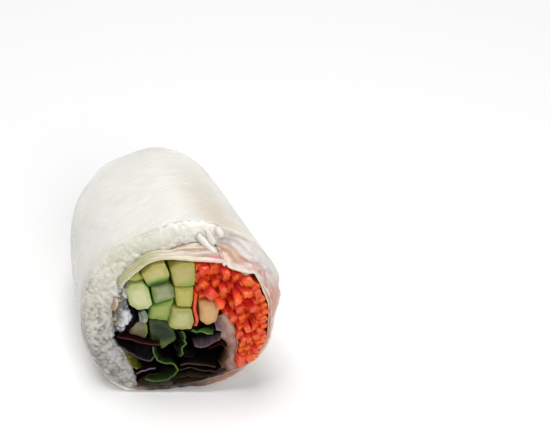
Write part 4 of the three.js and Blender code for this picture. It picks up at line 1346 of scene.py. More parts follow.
def noodle_crescent(sizes):
    """Rails of the crescent that the noodles fill, from bottom left to top right.

    They are the inner side at the cut, the outer side at the cut and under the sheet, how open each
    place is, and the inner side a little and far behind the cut.
    """
    rail = counter_clockwise(SLEEVE_OUTLINE)
    first, last = (int(np.argmin(np.hypot(*(rail - spot).T))) for spot in (CRESCENT_TOP, CRESCENT_LOW))
    knots = np.roll(rail, -first, axis=0)[: (last - first) % len(rail) + 1]
    inner = spaced_curve(knots, CRESCENT_COLUMNS)
    along = np.gradient(inner, axis=0)
    normal = np.stack([smoothed(along[:, 1], 61, "edge"), smoothed(-along[:, 0], 61, "edge")], axis=1)
    normal /= np.linalg.norm(normal, axis=1, keepdims=True)
    keep = inner[:, 1] > 0.8
    inner, normal = inner[keep], normal[keep]
    x, z = inner.T
    reach = ray_reach(inner, normal, outer_outline(180, sizes.paper + 0.15), 20.0)
    reach = np.maximum(np.where(reach > 19, 0.2, reach), 0.15)
    under = inner + normal * (reach - 0.1)[:, None]
    # Where the outer turn does not fold in, the noodles fill the cut right out to its face.
    angle = np.arctan2(under[:, 1] - AXIS_HEIGHT, under[:, 0])
    clear = np.where(angle > 0, smoothstep(1.1, 1.24, angle), smoothstep(-2.1, -2.3, angle))
    full = ray_reach(inner, normal, outer_outline(180, 0.1), 20.0)
    full = np.where(full > 19, reach, full)
    outer = inner + normal * (reach + (full - reach) * clear)[:, None]
    # Low on the left the noodles also cover the edge of the inner turn, up to the leaves.
    over = from_table(z, NOODLE_OVERHANG) * smoothstep(-9.5, -11.0, x)
    ragged = 0.45 * noise(on_section(x, z), 1.3, 45)
    raised = noodle_clearance(x, z)
    side = 0.05 - over * (1 + ragged) + raised + 0.5 * ragged * np.minimum(np.abs(raised), 1.0)
    behind = inner + normal * (0.05 + np.maximum(raised, 0))[:, None]
    return inner + normal * side[:, None], outer, under, clear, behind, inner


def fused_ends(random, outline, points, spacing):
    """How far a field of noodle ends that cling together stands proud at points of the cut."""
    spots = lattice(random, outline, lambda x, z: holds(outline, x, z), spacing, 0.3)
    here = on_section(*spots.T)
    # Some strands were dragged over by the knife: they lie across the cut, a little prouder.
    dragged = (random.random(len(spots)) < DRAGGED_SHARE) * smoothstep(6, 22, spots[:, 1])
    level = 0.13 * random.normal(size=len(spots)) + 0.35 * noise(here, 4.2, 44) + 0.2 * dragged
    turn = random.uniform(0, math.pi, len(spots))
    stretch = 1 + 0.4 * random.random(len(spots)) + 1.4 * dragged
    height = np.empty(len(points))
    for start in range(0, len(points), CHUNK):
        part = points[start:start + CHUNK]
        gap = part[:, None] - spots[None]
        along = gap[..., 0] * np.cos(turn) + gap[..., 1] * np.sin(turn)
        across = gap[..., 1] * np.cos(turn) - gap[..., 0] * np.sin(turn)
        apart = ((along / stretch) ** 2 + across**2) / (BUMP_RADIUS * spacing) ** 2
        bumps = np.exp(BUMP_FUSING * np.maximum(level - BUMP_DEPTH * apart, -4))
        height[start:start + CHUNK] = np.log(np.sum(bumps, axis=1)) / BUMP_FUSING
    return height


def noodle_tint(colours, x, z):
    """Noodles are white, greenish by the cucumber and pinkish towards the carrot; painted light makes them
    whiter on top, and painted shade makes them grey at the left and low down by the leaves.
    """
    return layered(
        colours.noodle[:],
        (colours.noodle_light[:], mottled(on_section(x, z), 4, 41)),
        (NOODLE_TONES.greenish, 0.4 * smoothstep(11, 3, np.hypot(x + 8, z - 37))),
        # Painted light: whiter on top.
        (NOODLE_TONES.top_white, 0.5 * smoothstep(38, 41, z) * smoothstep(-8, 0, x)),
        # Painted shade: greyer at the left.
        (NOODLE_TONES.left_grey, 0.6 * smoothstep(-12, -16, x) * smoothstep(40, 32, z)),
        (colours.noodle_shade[:], 0.9 * smoothstep(30, 8, z)),
        (colours.paper_pink[:], 0.3 * smoothstep(6, 16, x)),
    )


def build_noodles(sizes, colours):
    assembly = Assembly()
    inner, outer, under, clear, behind, root = noodle_crescent(sizes)
    shares = np.linspace(0, 1, CRESCENT_ROWS)
    flats = between(inner, outer, shares)
    from_rim = (1 - shares)[:, None] * np.linalg.norm(outer - inner, axis=1)
    rise, bumps = noodle_relief(sizes, flats[..., 0], flats[..., 1])
    shoulder = 1.05 * shoulder_drop(from_rim, flats[..., 1]) * clear
    front = np.array([on_cut(NOODLE_CUT, flat) for flat in flats])
    front[..., 1] += shoulder + 0.8 * (1 - clear) - rise * np.clip(from_rim / 0.6, 0, 1)
    hull = [rim_of(front)]
    for number, y in enumerate(BUNDLE_DEPTHS, 1):
        rail = behind if number < 3 else root
        x, z = rim_of(between(rail, under, shares)).T
        hull.append(place(x, np.maximum(y, hull[0][:, 1] + 0.6 * number), z))
    x, z = front[..., 0], front[..., 2]
    tint = noodle_tint(colours, x, z)
    # Painted shade in the valleys between fused noodle ends, less on top.
    groove = (0.7 - 0.35 * smoothstep(36, 41, z)) * smoothstep(0.0, -0.7, bumps)
    tint = blend_colours(tint, tint * NOODLE_TONES.valley, groove)
    # More painted shade in the valleys low down.
    low_groove = 0.75 * smoothstep(0.15, -0.5, bumps) * smoothstep(26, 16, z)
    tint = blend_colours(tint, tint * NOODLE_TONES.low_groove, low_groove)
    assembly.add(front, [grid_faces(*front.shape[:2])], tint=tint.reshape(-1, 3))
    hull = np.array(hull)
    assembly.add_rings(hull, first_cap=False, tint=noodle_tint(colours, hull[..., 0], hull[..., 2]))
    for radius, knots in HANGING_NOODLES:
        spots = [(x + SIGHT_SIDE * proud, z + SIGHT_RISE * proud, proud) for x, z, proud in knots]
        path = spaced_curve(strand_path(NOODLE_CUT, spots), 14)[::-1]
        add_strand(assembly, path, radius, 14, NOODLE_TONES.hanging)
    return assembly


def build_noodle_clump(sizes):
    assembly = Assembly()
    random = np.random.default_rng(CLUMP_SEED)
    left, right = spaced_curve(CLUMP_LEFT, CLUMP_COLUMNS), spaced_curve(CLUMP_RIGHT, CLUMP_COLUMNS)
    walked = np.linspace(0, 13.5, CLUMP_COLUMNS)
    right[:, 0] += 0.3 * np.abs(np.sin(math.pi * (walked + 0.3 * np.sin(walked)) / 1.3)) - 0.1
    left, right = sighted(left, -1.8), sighted(right, -0.7)
    shares = np.linspace(0, 1, CLUMP_ROWS)
    flats = between(left, right, shares)
    across = shares[:, None]
    field = np.concatenate([left, right[::-1]])
    bumps = fused_ends(random, field, flats.reshape(-1, 2), CLUMP_SPACING).reshape(flats.shape[:2])
    front = np.array([on_cut(FILLING_CUT, flat) for flat in flats])
    upper = smoothstep(28, 31, flats[..., 1])
    front[..., 1] += 1.8 - 1.1 * across - 1.6 * bumps - 0.7 * upper
    front[..., 1] += 1.3 * np.clip(1 - (1 - across) * 3.2, 0, 1) ** 2
    # The clump sits deep among the fillings: its tones are painted shade, lighter on lit tips, bluish grey by
    # the leaves and paler at the top.
    tips = smoothstep(-0.25, 0.1, bumps)
    cool = blend_colours(CLUMP_TONES.cool_dark, CLUMP_TONES.cool_light, tips)
    by_leaves = across + 0.5 * smoothstep(20.5, 18.5, flats[..., 1]) + 0.5 * upper
    tint = layered(
        CLUMP_TONES.warm_dark,
        (CLUMP_TONES.warm_light, tips),
        (cool, smoothstep(0.3, 0.6, by_leaves)),
        (CLUMP_TONES.upper, upper),
    )
    assembly.add(front, [grid_faces(*front.shape[:2])], tint=tint.reshape(-1, 3))
    edge = rim_of(front)
    inward = edge.mean(axis=0) - edge
    hull = [edge + inward * [shrink, 0, shrink] + [0, depth, 0]
            for shrink, depth in ((0, 0), (0.05, 1.5), (0.1, 4.0), (0.12, CLUMP_DEPTH))]
    # The clump's hidden body is painted a shaded grey.
    assembly.add_rings(hull, first_cap=False, tint=CLUMP_TONES.body)
    for knots in LOOSE_NOODLES:
        spots = [(*sighted(knot[:2], knot[2]), knot[2]) for knot in knots]
        path = spaced_curve(strand_path(FILLING_CUT, spots), 9)
        # These noodles are painted dark grey-green: painted shade, deep among the fillings.
        add_strand(assembly, path, sizes.noodle_radius, 8, NOODLE_TONES.loose)
    return assembly


# ---- Cucumber ----
# Colours of the flesh: in the middle of the cut face, and towards its rim.
FLESH = {
    "cream": ((210, 198, 130), (188, 182, 98)), "olive": ((184, 174, 84), (160, 152, 62)),
    "pale": ((222, 222, 172), (188, 198, 132)), "shaded": ((160, 168, 124), (120, 140, 84)),
    "yellow": ((198, 188, 98), (178, 172, 74)), "green": ((166, 178, 92), (130, 158, 66)),
    # The brown flesh is pale flesh darkened by painted shade, as its baton lies deep.
    "peach": ((226, 178, 122), (204, 152, 92)), "brown": ((146, 136, 104), (124, 100, 80)),
    "mellow": ((200, 198, 136), (172, 172, 96)),
    # The dark flesh is the green skin side, darkened further by painted shade.
    "dark": ((26, 42, 10), (62, 76, 34)), "ivory": ((198, 186, 116), (180, 172, 90)),
}
BATON_PRESS = 0.1   # how far each baton is pressed against its neighbours
BATON_POINTS, BATON_FACE_RINGS = 72, 12
BATON_DEPTHS = (0.9, 2.0, 4.0, 8.0, 20.0, 60.0)
RIM_ROUNDING = 0.24   # how far the cut face falls back at its rim


def rounded_corners(corners, count):
    corners = counter_clockwise(corners)
    knots = []
    for corner, before, after in zip(corners, np.roll(corners, 1, axis=0), np.roll(corners, -1, axis=0)):
        for cut in (CORNER_CUT, CORNER_CUT * 0.35):
            knots.append(corner + (before - corner) * cut)
        for cut in (CORNER_CUT * 0.35, CORNER_CUT):
            knots.append(corner + (after - corner) * cut)
    return closed_curve(knots, count, steps=8)


def build_baton(colours, proud, skin_way, skin_start, skin_depth, flesh, corners):
    outline = rounded_corners(corners, BATON_POINTS)
    middle = outline.mean(axis=0)
    spread = outline - middle
    spread *= 1 + BATON_PRESS / np.linalg.norm(spread, axis=1).mean()
    way = np.array([math.cos(math.radians(skin_way)), math.sin(math.radians(skin_way))])
    extent = (spread @ way).max()
    rings, skin, rim = [], [], []

    def add_ring(points, flat, towards_rim):
        rings.append(points)
        skin.append(smoothstep(skin_start, 1.0, flat @ way / extent) * skin_depth)
        rim.append(np.full(BATON_POINTS, towards_rim))

    for share in np.linspace(0.1, 1.0, BATON_FACE_RINGS):
        flat = spread * (share if share < 1 else 0.985)
        x, z = (middle + flat).T
        rounding = RIM_ROUNDING * smoothstep(0.82, 1.0, share) ** 2
        points = place(x, cut_depth(FILLING_CUT, x, z) - proud + rounding, z)
        points[:, 1] += 0.2 * noise(points, 1.9, 51) + 0.06 * noise(points, 0.7, 53)
        add_ring(points, flat, smoothstep(0.35, 1.0, share))
    x, z = (middle + spread).T
    front = cut_depth(FILLING_CUT, x, z) - proud
    for depth in BATON_DEPTHS:
        add_ring(place(x, np.minimum(front + depth, FILLING_END - 0.3), z), spread, 1.0)
    mottle = mottled(rings, 2.2, 52)
    centre, edge = FLESH[flesh]
    tint = layered(
        linear(*centre),
        (colours.cucumber_light[:], 0.2 * mottle * (centre[0] > 155)),
        (linear(*edge), np.clip(np.array(rim) + 0.8 * (mottle - 0.5), 0, 1)),
    )
    assembly = Assembly()
    assembly.add_rings(rings, tint=tint, skin=np.array(skin))
    return assembly


# ---- Carrot ----
SHRED_CORNER = 0.26   # of a shred's width that its softened edges take up
SHRED_LEAN = 0.12   # how far shreds point aside, at random
CARROT_SEED, LONE_SHRED_SEED = 19, 3
# The close row along the sheet: its shreds, how far in it lies, and the least distance to others.
ROW_COUNT, ROW_INSET, ROW_GAP = 46, 0.75, 1.15
# Shreds in between: how many at most, and the least distances to each other and to those placed.
LOOSE_COUNT, LOOSE_GAP, PLACED_GAP = 150, 1.4, 0.9
LONE_SHRED_WIDTH, LONE_SHRED_DEPTH = 0.8, 6.0
# Rings along a shred: how far behind its end, how wide, and how deep its colour is; the deep colour is
# painted shade that grows into the gaps between shreds.
SHRED_RINGS = (
    (0.0, 0.5, 0.0), (0.0, 0.9, 0.0), (0.12, 1.0, 0.25), (1.0, 1.0, 0.45), (2.4, 1.02, 0.7),
    (4.4, 1.0, 0.95), (9.0, 1.0, 1.0),
)


def add_shred(assembly, random, x, z, proud, width, height, turn, tint):
    """A square shred with softened edges whose cut end stands proud of the knife plane."""
    far, near = 1.0, 1 - SHRED_CORNER
    half = np.array([[far, -near], [far, near], [near, far], [-near, far],
                     [-far, near], [-far, -near], [-near, -far], [near, -far]]) / 2
    angle = math.radians(turn)
    spin = np.array([[math.cos(angle), -math.sin(angle)], [math.sin(angle), math.cos(angle)]])
    section = (half * [width, height]) @ spin.T
    lean = SHRED_LEAN * float(smoothstep(0.5, 3.0, edge_distance(CARROT_OUTLINE, x, z)))
    side, rise = lean * random.normal() - 0.006 * x, lean * random.normal() - 0.006 * (z - AXIS_HEIGHT)
    heading = np.array([side, 1.0, rise])
    heading /= np.linalg.norm(heading)
    tip = np.array([x, float(cut_depth(FILLING_CUT, x, z)) - proud, z])
    slant = random.normal(size=2) * 0.14 + [0.06, -0.1]
    rings = []
    for along, size, _ in SHRED_RINGS:
        flat = section * size
        tilt = (flat @ slant) * max(0.0, 1 - along / 2.4)
        ring = tip + heading * along + np.stack([flat[:, 0], tilt, flat[:, 1]], axis=1)
        rings.append(ring + 0.04 * random.normal(size=ring.shape))
    depth = np.repeat([[deep] for _, _, deep in SHRED_RINGS], len(half), axis=1)
    assembly.add_rings(rings, tint=np.broadcast_to(tint, depth.shape + (3,)), depth=depth)


def carrot_tone(random, colours):
    light, deep = random.random(), random.random()
    tint = blend_colours(colours.carrot[:], colours.carrot_light[:], 0.8 * light**2)
    return blend_colours(tint, colours.carrot_deep_and_shade[:], 0.5 * deep**1.5)


def build_carrots(sizes, colours):
    assembly = Assembly()
    random = np.random.default_rng(CARROT_SEED)
    outline = counter_clockwise(CARROT_OUTLINE)
    taken = []
    for seen_x, seen_z, proud, width, height, turn in CARROT_SHREDS:
        x, z = sighted((seen_x, seen_z), proud)
        add_shred(assembly, random, x, z, proud, width, height, turn, carrot_tone(random, colours))
        taken.append((x, z))
    # A close row of shreds lies along the sheet at the right.
    row = spaced_curve(outline, ROW_COUNT, closed=True)
    row = row - outward(row) * ROW_INSET
    for x, z in row[(row[:, 0] > 13.2) & (row[:, 1] > 8) & (row[:, 1] < 33)]:
        if min(math.hypot(x - a, z - b) for a, b in taken) > ROW_GAP:
            width, height = sizes.shred * random.uniform(0.8, 1.0, 2)
            proud, turn = 0.7 + 0.5 * random.random(), random.normal() * 10 + 8
            add_shred(assembly, random, x, z, proud, width, height, turn, carrot_tone(random, colours))
            taken.append((x, z))
    taken = np.array(taken)

    def is_free(x, z):
        apart = np.min(np.hypot(x[:, None] - taken[:, 0], z[:, None] - taken[:, 1]), axis=1)
        return holds(outline, x, z) & (edge_distance(outline, x, z) > 0.3) & (apart > PLACED_GAP)

    for x, z in scatter(random, outline, is_free, LOOSE_COUNT, LOOSE_GAP):
        width, height = sizes.shred * random.uniform(0.8, 1.1, 2)
        rim = smoothstep(3.0, 1.4, edge_distance(CAVITY_OUTLINE, x, z)) * (x > 12)
        proud = (-0.2 - 3.0 * random.random() ** 1.3) * (1 - rim) + 0.8 * rim
        turn = random.normal() * 14 + 6
        add_shred(assembly, random, x, z, proud, width, height, turn, carrot_tone(random, colours))
    # The hidden core takes the deep colour as painted shade.
    add_core(assembly, CARROT_OUTLINE, 90, 0.5, 3.2, tint=colours.carrot_deep_and_shade[:], depth=1.0)
    return assembly


def build_lone_shred(colours):
    path = spaced_curve(LONE_SHRED_PATH, 30)
    front, back = on_cut(FILLING_CUT, path, -0.1), on_cut(FILLING_CUT, path, LONE_SHRED_DEPTH)
    tint = carrot_tone(np.random.default_rng(LONE_SHRED_SEED), colours)
    assembly = Assembly()
    add_sheet(assembly, between(front, back, np.linspace(0, 1, 6)), LONE_SHRED_WIDTH,
              on_section(*side_normals(path).T), tint=tint, depth=0.3)
    return assembly


# ---- Lettuce ----
# Leaves that show: the front edge as seen on the cut and how proud, the line where the leaf goes out
# of sight and how proud, ruffle, colour of the blade and of its thin front edge.
LEAVES = (
    (((-16.3, 16.2), (-15.2, 13.9), (-13.2, 12), (-11.4, 10.4), (-9.6, 9.4), (-8.2, 9.2), (-7.4, 10.2)),
     0.3, ((-15.6, 17.4), (-14, 16.2), (-12, 15.5), (-10, 14.7), (-8.2, 14.2), (-6.6, 14), (-5.2, 14)), -3,
     0.12, (11, 6, 9), (112, 104, 106)),
    (((-15.4, 16.6), (-14, 16.1), (-12, 15.3), (-10, 14.5), (-8, 14), (-5.6, 13.7)), -0.6, ((-15, 18),
     (-13.4, 18.2), (-11.6, 17.6), (-9.8, 16.8), (-8, 16.2), (-5.8, 15.6)), -4.2, 0.06, (46, 24, 22),
     (98, 58, 50)),
    (((-7.1, 13.2), (-7.2, 11.4), (-6.8, 9.8), (-6.2, 8.9), (-5, 8.4), (-3.8, 8.2), (-2.7, 7.5),
     (-2.3, 6.2), (-2.8, 4.8), (-4.2, 3.5), (-6, 2.9), (-8, 3.1), (-10.4, 3.7)), 0.3, ((-6, 14.4),
     (-6, 12.8), (-5.8, 11.6), (-5.2, 10.8), (-4.4, 10.4), (-3.8, 10), (-3.4, 9.2), (-3.4, 8.4), (-4, 7.6),
     (-5.4, 7.2), (-7, 7), (-8.6, 7.2), (-10.2, 7.4)), -3.2, 0.1, (36, 62, 22), (112, 140, 74)),
    (((-13.8, 12.6), (-13.6, 10.6), (-13.2, 9), (-12.4, 7.8), (-11.8, 6.8)), 0.1, ((-11.6, 11.4),
     (-10.8, 10.2), (-10.4, 9), (-10, 8.2), (-9.4, 7.6)), -2, 0.5, (96, 92, 26), (138, 134, 66)),
    (((-12.2, 5.4), (-11, 6), (-9.8, 6.5), (-8.6, 6.9), (-7.4, 6.9)), 0.2, ((-11.6, 7.4), (-10.4, 8.2),
     (-9.2, 8.6), (-8, 8.6), (-6.8, 8.4)), -2.6, 0.1, (44, 16, 40), (136, 118, 132)),
    (((-12.4, 3), (-11.2, 3.8), (-10, 4.6), (-8.6, 5), (-7, 5.2)), 0, ((-12, 5.4), (-10.8, 6), (-9.4, 6.4),
     (-8.2, 6.4), (-6.8, 6.2)), -2.4, 0.2, (30, 14, 12), (60, 40, 34)),
    (((-0.7, 10), (-0.2, 11.6), (0.3, 13.2), (0.8, 14.8), (0.4, 16.4), (0, 17.6)), 0.1, ((-2.2, 10.8),
     (-2, 12.6), (-1.7, 14.2), (-1.4, 15.6), (-1.4, 17), (-1.4, 18.2)), -2.6, 0.5, (36, 66, 26),
     (116, 138, 84)),
    (((-1.4, 7.4), (0.6, 7.6), (2.6, 7.3), (5, 6.8), (7.2, 6.4)), 0.3, ((-0.4, 11), (1.6, 11.6),
     (3.6, 11.6), (6, 11.2), (8.2, 10.8)), -4.6, 0.06, (12, 7, 9), (104, 78, 70)),
    (((-2.2, 5.6), (0.4, 6.2), (3, 5.6), (5.4, 5), (7.4, 5.1), (8.5, 6)), 0.2, ((-1.6, 7.2), (0.6, 7.6),
     (3, 7.1), (5.6, 6.6), (7.8, 7), (9, 8.4)), -2, 0.06, (22, 15, 10), (80, 70, 58)),
    (((-4, 3), (-1, 3.6), (2, 3.2), (5, 3.4), (6.8, 3.8), (8, 4.8)), 0, ((-2.6, 5.6), (0, 5.6), (3, 5.2),
     (5.6, 5), (7.6, 6), (9.2, 8)), -1.6, 0.12, (58, 46, 24), (70, 56, 32)),
    (((-4, 1.6), (-1, 1.8), (2, 1.9), (5, 2.8)), -0.2, ((-3.4, 4), (-0.6, 4.2), (2, 4), (4.8, 4.4)), -1.6,
     0.1, (60, 44, 32), (62, 46, 38)),
    (((10.2, 12.6), (10.5, 11), (10.1, 9.2), (9.4, 7.6), (8.8, 6.6)), 0, ((9.4, 14.2), (9.2, 12.6),
     (8.6, 11.2), (8, 10.2), (7.2, 9.6)), -3.4, 0.08, (112, 84, 56), (104, 78, 50)),
    (((2.7, 13.3), (3.8, 12.8), (5.2, 13), (6.8, 13.9), (8.8, 15.3)), 0.2, ((1.6, 16.4), (3.2, 17.6),
     (5.2, 18), (7.4, 18), (9.6, 18.4)), -2.6, 0.08, (104, 84, 92), (140, 120, 118)),
    (((6, 12.2), (7.2, 12.8), (8.4, 13.6), (9.6, 13.2), (10.2, 12)), -0.6, ((6.2, 14.2), (7.4, 14.8),
     (8.6, 15.4), (9.6, 15.2), (10.4, 14.4)), -2.4, 0.06, (46, 14, 16), (70, 26, 26)),
    (((2.4, 17.7), (3.8, 17.1), (5.2, 17.4), (6, 16.9), (7.2, 17)), 0.5, ((2.6, 18.7), (4.2, 18.6),
     (5.6, 18.8), (6.6, 19.2), (7.8, 19)), -1, 0.35, (76, 122, 44), (132, 160, 92)),
    (((-16.1, 16.4), (-14.5, 17.3), (-12.5, 18.9), (-11.1, 20.8), (-10.7, 23), (-10.8, 24.8),
     (-10.2, 25.8)), -0.4, ((-14.6, 16.6), (-13, 18), (-11.4, 19.4), (-10.2, 20.8), (-9.4, 22.2),
     (-9.2, 23.8), (-9.2, 25)), -2, 0.12, (9, 6, 7), (26, 18, 16)),
    (((-9.4, 24.6), (-9, 23.2), (-9.4, 21.6), (-10.6, 20.4)), -0.6, ((-8.6, 25.4), (-7.8, 23.6),
     (-8.2, 22), (-9.4, 20.8)), -2.4, 0.1, (16, 15, 9), (34, 32, 20)),
    (((-2.8, 18.9), (-1.4, 18.6), (0.2, 18.4), (1.6, 17.7), (2.6, 17)), -1.4, ((-2.6, 21), (-1.2, 20.6),
     (0.4, 20.4), (1.8, 19.8), (2.8, 19.2)), -4, 0.1, (12, 9, 11), (36, 32, 34)),
    (((-2.2, 13.2), (-1.4, 11.2), (0.4, 9.6), (2, 9.2)), -1.2, ((-2.2, 15.4), (-0.8, 13.6), (1, 12.2),
     (2.8, 12)), -3.6, 0.2, (26, 14, 20), (52, 38, 44)),
)
LETTUCE_OUTLINE = (
    (-15.3, 15.4), (-14.4, 12.9), (-12.9, 11.2), (-12.4, 8.5), (-11.7, 6), (-11.2, 3.6), (-10.2, 1.4),
    (-4, 1.3), (2.5, 1.8), (7.2, 3.6), (9.4, 6.8), (10.1, 10), (9.6, 13.8), (8, 17.4), (6.8, 19.3),
    (4.2, 19), (2.6, 18.6), (-0.6, 18.6), (-0.4, 13.6), (-1.8, 12.4), (-4.9, 10), (-6.6, 12.2),
    (-8.4, 12.9), (-13.4, 15.6), (-11.4, 19.6), (-9.2, 21), (-8.8, 23.3), (-9.6, 25), (-10.7, 25),
    (-11.2, 23), (-12.2, 20), (-13.8, 17.5),
)
LEAF_COLUMNS, LEAF_ROWS = 72, 20
LEAF_TAIL = 3.0   # how far a leaf runs on behind the line where it goes out of sight


def add_leaf(assembly, sizes, colours, number, front, front_proud, back, back_proud, ruffle, body, edge):
    near = sighted(spaced_curve(front, LEAF_COLUMNS), front_proud)
    far = sighted(spaced_curve(back, LEAF_COLUMNS), back_proud)
    across = side_normals(near)
    shares = np.linspace(0, 1, LEAF_ROWS) ** 1.2
    rows = []
    for share in shares:
        spot = np.stack([near[:, 0], np.full(LEAF_COLUMNS, share * 3.0), near[:, 1]], axis=1)
        wave = ruffle * noise(spot, 1.5, 61 + number) * 1.6 + 0.1 * noise(spot, 0.9, 81 + number)
        flat = near * (1 - share) + far * share + across * (wave * (1 - 0.5 * share))[:, None]
        proud = front_proud * (1 - share) + back_proud * share
        x, z = flat.T
        y = cut_depth(FILLING_CUT, x, z) - proud + 0.3 * noise(spot, 1.8, 101 + number) * (1 - share)
        rows.append(place(x, y, z))
    rows = np.array([*rows, rows[-1] + [0, LEAF_TAIL, 0]])
    mottle = mottled(rows, 1.6, 121 + number)
    depth = np.append(shares, 1.2)[:, None]
    veins = mottled(rows * [1.0, 0.25, 1.0], 0.7, 141 + number)
    # Painted shade: leaves darken towards black further behind their front edge.
    depth_shade = np.clip(1.5 * depth + 0.4 * (mottle - 0.5), 0, 1)
    tint = blend_colours(linear(*body), colours.leaf_dark_and_shade[:], depth_shade)
    tint = tint * (0.75 + 0.5 * veins[..., None])
    tint = blend_colours(tint, linear(*edge), np.exp(-((depth / 0.05) ** 2)) * (0.55 + 0.45 * mottle))
    add_sheet(assembly, rows, sizes.leaf, tint=tint)


def build_lettuce(sizes, colours):
    assembly = Assembly()
    for number, leaf in enumerate(LEAVES):
        add_leaf(assembly, sizes, colours, number, *leaf)
    # The hidden core of the lettuce is painted near-black shade.
    add_core(assembly, LETTUCE_OUTLINE, 140, 0.4, 5.0, tint=colours.leaf_dark_and_shade[:])
    return assembly


# ---- Stage ----
CAMERA_PLACE = Vector((-0.04328, -0.23167, 0.22855))
CAMERA_WAY = Vector((0.2372, 0.7284, -0.6428))
CAMERA_LENS, CAMERA_SENSOR, CAMERA_NEAREST = 78.52, 36.0, 0.01
FLOOR_HALF = 3.0
ROOM_LIGHT = 0.2
# Lights: name, place, size and power in watts.
LIGHTS = (
    ("top_light", (0.0, 0.1, 0.9), 0.5, 5.9),
    ("front_light", (0.12, -0.65, 0.6), 0.5, 2.9),
)


def put_in_scene(name, data, where, way):
    """Adds a light or a camera at a place, facing along a direction."""
    thing = bpy.data.objects.new(name, data)
    thing.location = where
    thing.rotation_mode = "QUATERNION"
    thing.rotation_quaternion = way.to_track_quat("-Z", "Y")
    bpy.context.scene.collection.objects.link(thing)
    return thing


def build_stage(colours):
    scene = bpy.context.scene
    scene.view_settings.view_transform = "Standard"
    world = bpy.data.worlds.new("Studio")
    world.use_nodes = True
    background = world.node_tree.nodes["Background"]
    background.inputs["Color"].default_value = (1, 1, 1, 1)
    background.inputs["Strength"].default_value = ROOM_LIGHT
    scene.world = world
    material, _, shader = start_material("Floor", roughness=0.7, specular_ior_level=0.2)
    shader.inputs["Base Color"].default_value = colour4(colours.floor)
    mesh = bpy.data.meshes.new("floor")
    corners = [(side * FLOOR_HALF, way * FLOOR_HALF, 0) for side, way in ((-1, -1), (1, -1), (1, 1), (-1, 1))]
    mesh.from_pydata(corners, [], [(0, 1, 2, 3)])
    floor = bpy.data.objects.new("floor", mesh)
    mesh.materials.append(material)
    scene.collection.objects.link(floor)
    for name, where, size, power in LIGHTS:
        data = bpy.data.lights.new(name, "AREA")
        data.size = size
        data.energy = power
        put_in_scene(name, data, where, -Vector(where))
    data = bpy.data.cameras.new("camera")
    data.lens, data.sensor_width, data.clip_start = CAMERA_LENS, CAMERA_SENSOR, CAMERA_NEAREST
    scene.camera = put_in_scene("camera", data, CAMERA_PLACE, CAMERA_WAY)


# ---- Operators ----
def shared_material(name, build):
    return bpy.data.materials.get(name) or build(bpy.context.scene.roll_colours)


class RICEROLL_OT_stage(bpy.types.Operator):
    """Make the floor, the light and the camera"""

    bl_idname = "rice_roll.stage"
    bl_label = "Stage"

    def execute(self, context):
        build_stage(context.scene.roll_colours)
        return {"FINISHED"}


class RICEROLL_OT_outer_paper(bpy.types.Operator):
    """Make the outer turn of the rice paper, with its closed end"""

    bl_idname = "rice_roll.outer_paper"
    bl_label = "Outer paper"

    def execute(self, context):
        paper = shared_material("Rice paper", paper_material)
        make_piece("paper_outer_turn", build_outer_paper(*settings()), paper, "rice_paper", "rice_paper")
        return {"FINISHED"}


class RICEROLL_OT_inner_paper(bpy.types.Operator):
    """Make the inner turn of the rice paper, its pressed layers and its starting flap"""

    bl_idname = "rice_roll.inner_paper"
    bl_label = "Inner paper"

    def execute(self, context):
        sizes, colours = settings()
        paper = shared_material("Rice paper", paper_material)
        make_piece("paper_inner_turn", build_inner_paper(sizes, colours), paper, "rice_paper", "rice_paper")
        make_piece("paper_flap", build_flap(sizes), paper, "rice_paper", "rice_paper")
        return {"FINISHED"}


class RICEROLL_OT_noodles(bpy.types.Operator):
    """Make the crescent of rice noodles and the small clump among the fillings"""

    bl_idname = "rice_roll.noodles"
    bl_label = "Noodles"

    def execute(self, context):
        sizes, colours = settings()
        noodle = shared_material("Rice noodle", noodle_material)
        make_piece("noodle_bundle", build_noodles(sizes, colours), noodle, "noodles", "noodles")
        make_piece("noodle_tuft", build_noodle_clump(sizes), noodle, "noodles", "noodle_clump")
        return {"FINISHED"}


class RICEROLL_OT_cucumber(bpy.types.Operator):
    """Make the cucumber batons"""

    bl_idname = "rice_roll.cucumber"
    bl_label = "Cucumber"

    def execute(self, context):
        cucumber = shared_material("Cucumber", cucumber_material)
        for number, baton in enumerate(CUCUMBERS, 1):
            make_piece(f"cucumber_baton_{number}", build_baton(context.scene.roll_colours, *baton), cucumber,
                       "cucumber", f"cucumber_{number}")
        return {"FINISHED"}


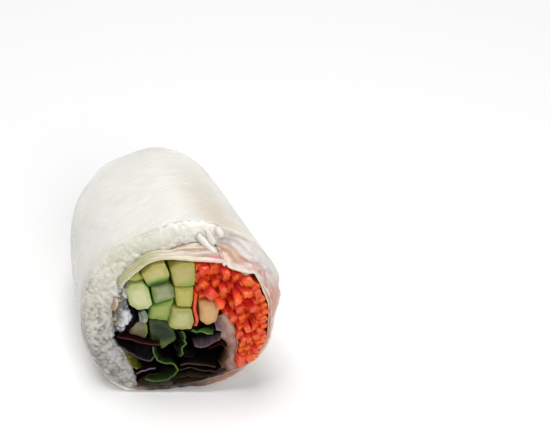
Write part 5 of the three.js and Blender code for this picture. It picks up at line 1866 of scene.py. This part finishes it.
class RICEROLL_OT_carrot(bpy.types.Operator):
    """Make the carrot shreds"""

    bl_idname = "rice_roll.carrot"
    bl_label = "Carrot"

    def execute(self, context):
        sizes, colours = settings()
        carrot = shared_material("Carrot", carrot_material)
        make_piece("carrot_bundle", build_carrots(sizes, colours), carrot, "carrot", "carrot_shreds")
        make_piece("carrot_strip", build_lone_shred(colours), carrot, "carrot", "carrot_lone_shred")
        return {"FINISHED"}


class RICEROLL_OT_lettuce(bpy.types.Operator):
    """Make the lettuce leaves"""

    bl_idname = "rice_roll.lettuce"
    bl_label = "Lettuce"

    def execute(self, context):
        leaf = shared_material("Lettuce leaf", leaf_material)
        make_piece("lettuce_leaves", build_lettuce(*settings()), leaf, "lettuce", "lettuce")
        return {"FINISHED"}


OPERATORS = (
    RICEROLL_OT_stage, RICEROLL_OT_outer_paper, RICEROLL_OT_inner_paper, RICEROLL_OT_noodles,
    RICEROLL_OT_cucumber, RICEROLL_OT_carrot, RICEROLL_OT_lettuce,
)


class RICEROLL_PT_panel(bpy.types.Panel):
    """Lists the steps that build the roll"""

    bl_idname = "RICEROLL_PT_panel"
    bl_label = "Rice paper roll"
    bl_space_type = "VIEW_3D"
    bl_region_type = "UI"
    bl_category = "Rice paper roll"

    def draw(self, context):
        for operator in OPERATORS:
            self.layout.operator(operator.bl_idname)
        for group in (context.scene.roll_sizes, context.scene.roll_colours):
            box = self.layout.box()
            for name in type(group).__annotations__:
                box.prop(group, name)


CLASSES = (RollSizes, RollColours, *OPERATORS, RICEROLL_PT_panel)


def register():
    for cls in CLASSES:
        bpy.utils.register_class(cls)
    bpy.types.Scene.roll_sizes = bpy.props.PointerProperty(type=RollSizes)
    bpy.types.Scene.roll_colours = bpy.props.PointerProperty(type=RollColours)


def unregister():
    del bpy.types.Scene.roll_colours
    del bpy.types.Scene.roll_sizes
    for cls in reversed(CLASSES):
        bpy.utils.unregister_class(cls)


def main():
    register()
    bpy.ops.rice_roll.stage()
    bpy.ops.rice_roll.outer_paper()
    bpy.ops.rice_roll.inner_paper()
    bpy.ops.rice_roll.noodles()
    bpy.ops.rice_roll.cucumber()
    bpy.ops.rice_roll.carrot()
    bpy.ops.rice_roll.lettuce()


if __name__ == "__main__":
    main()
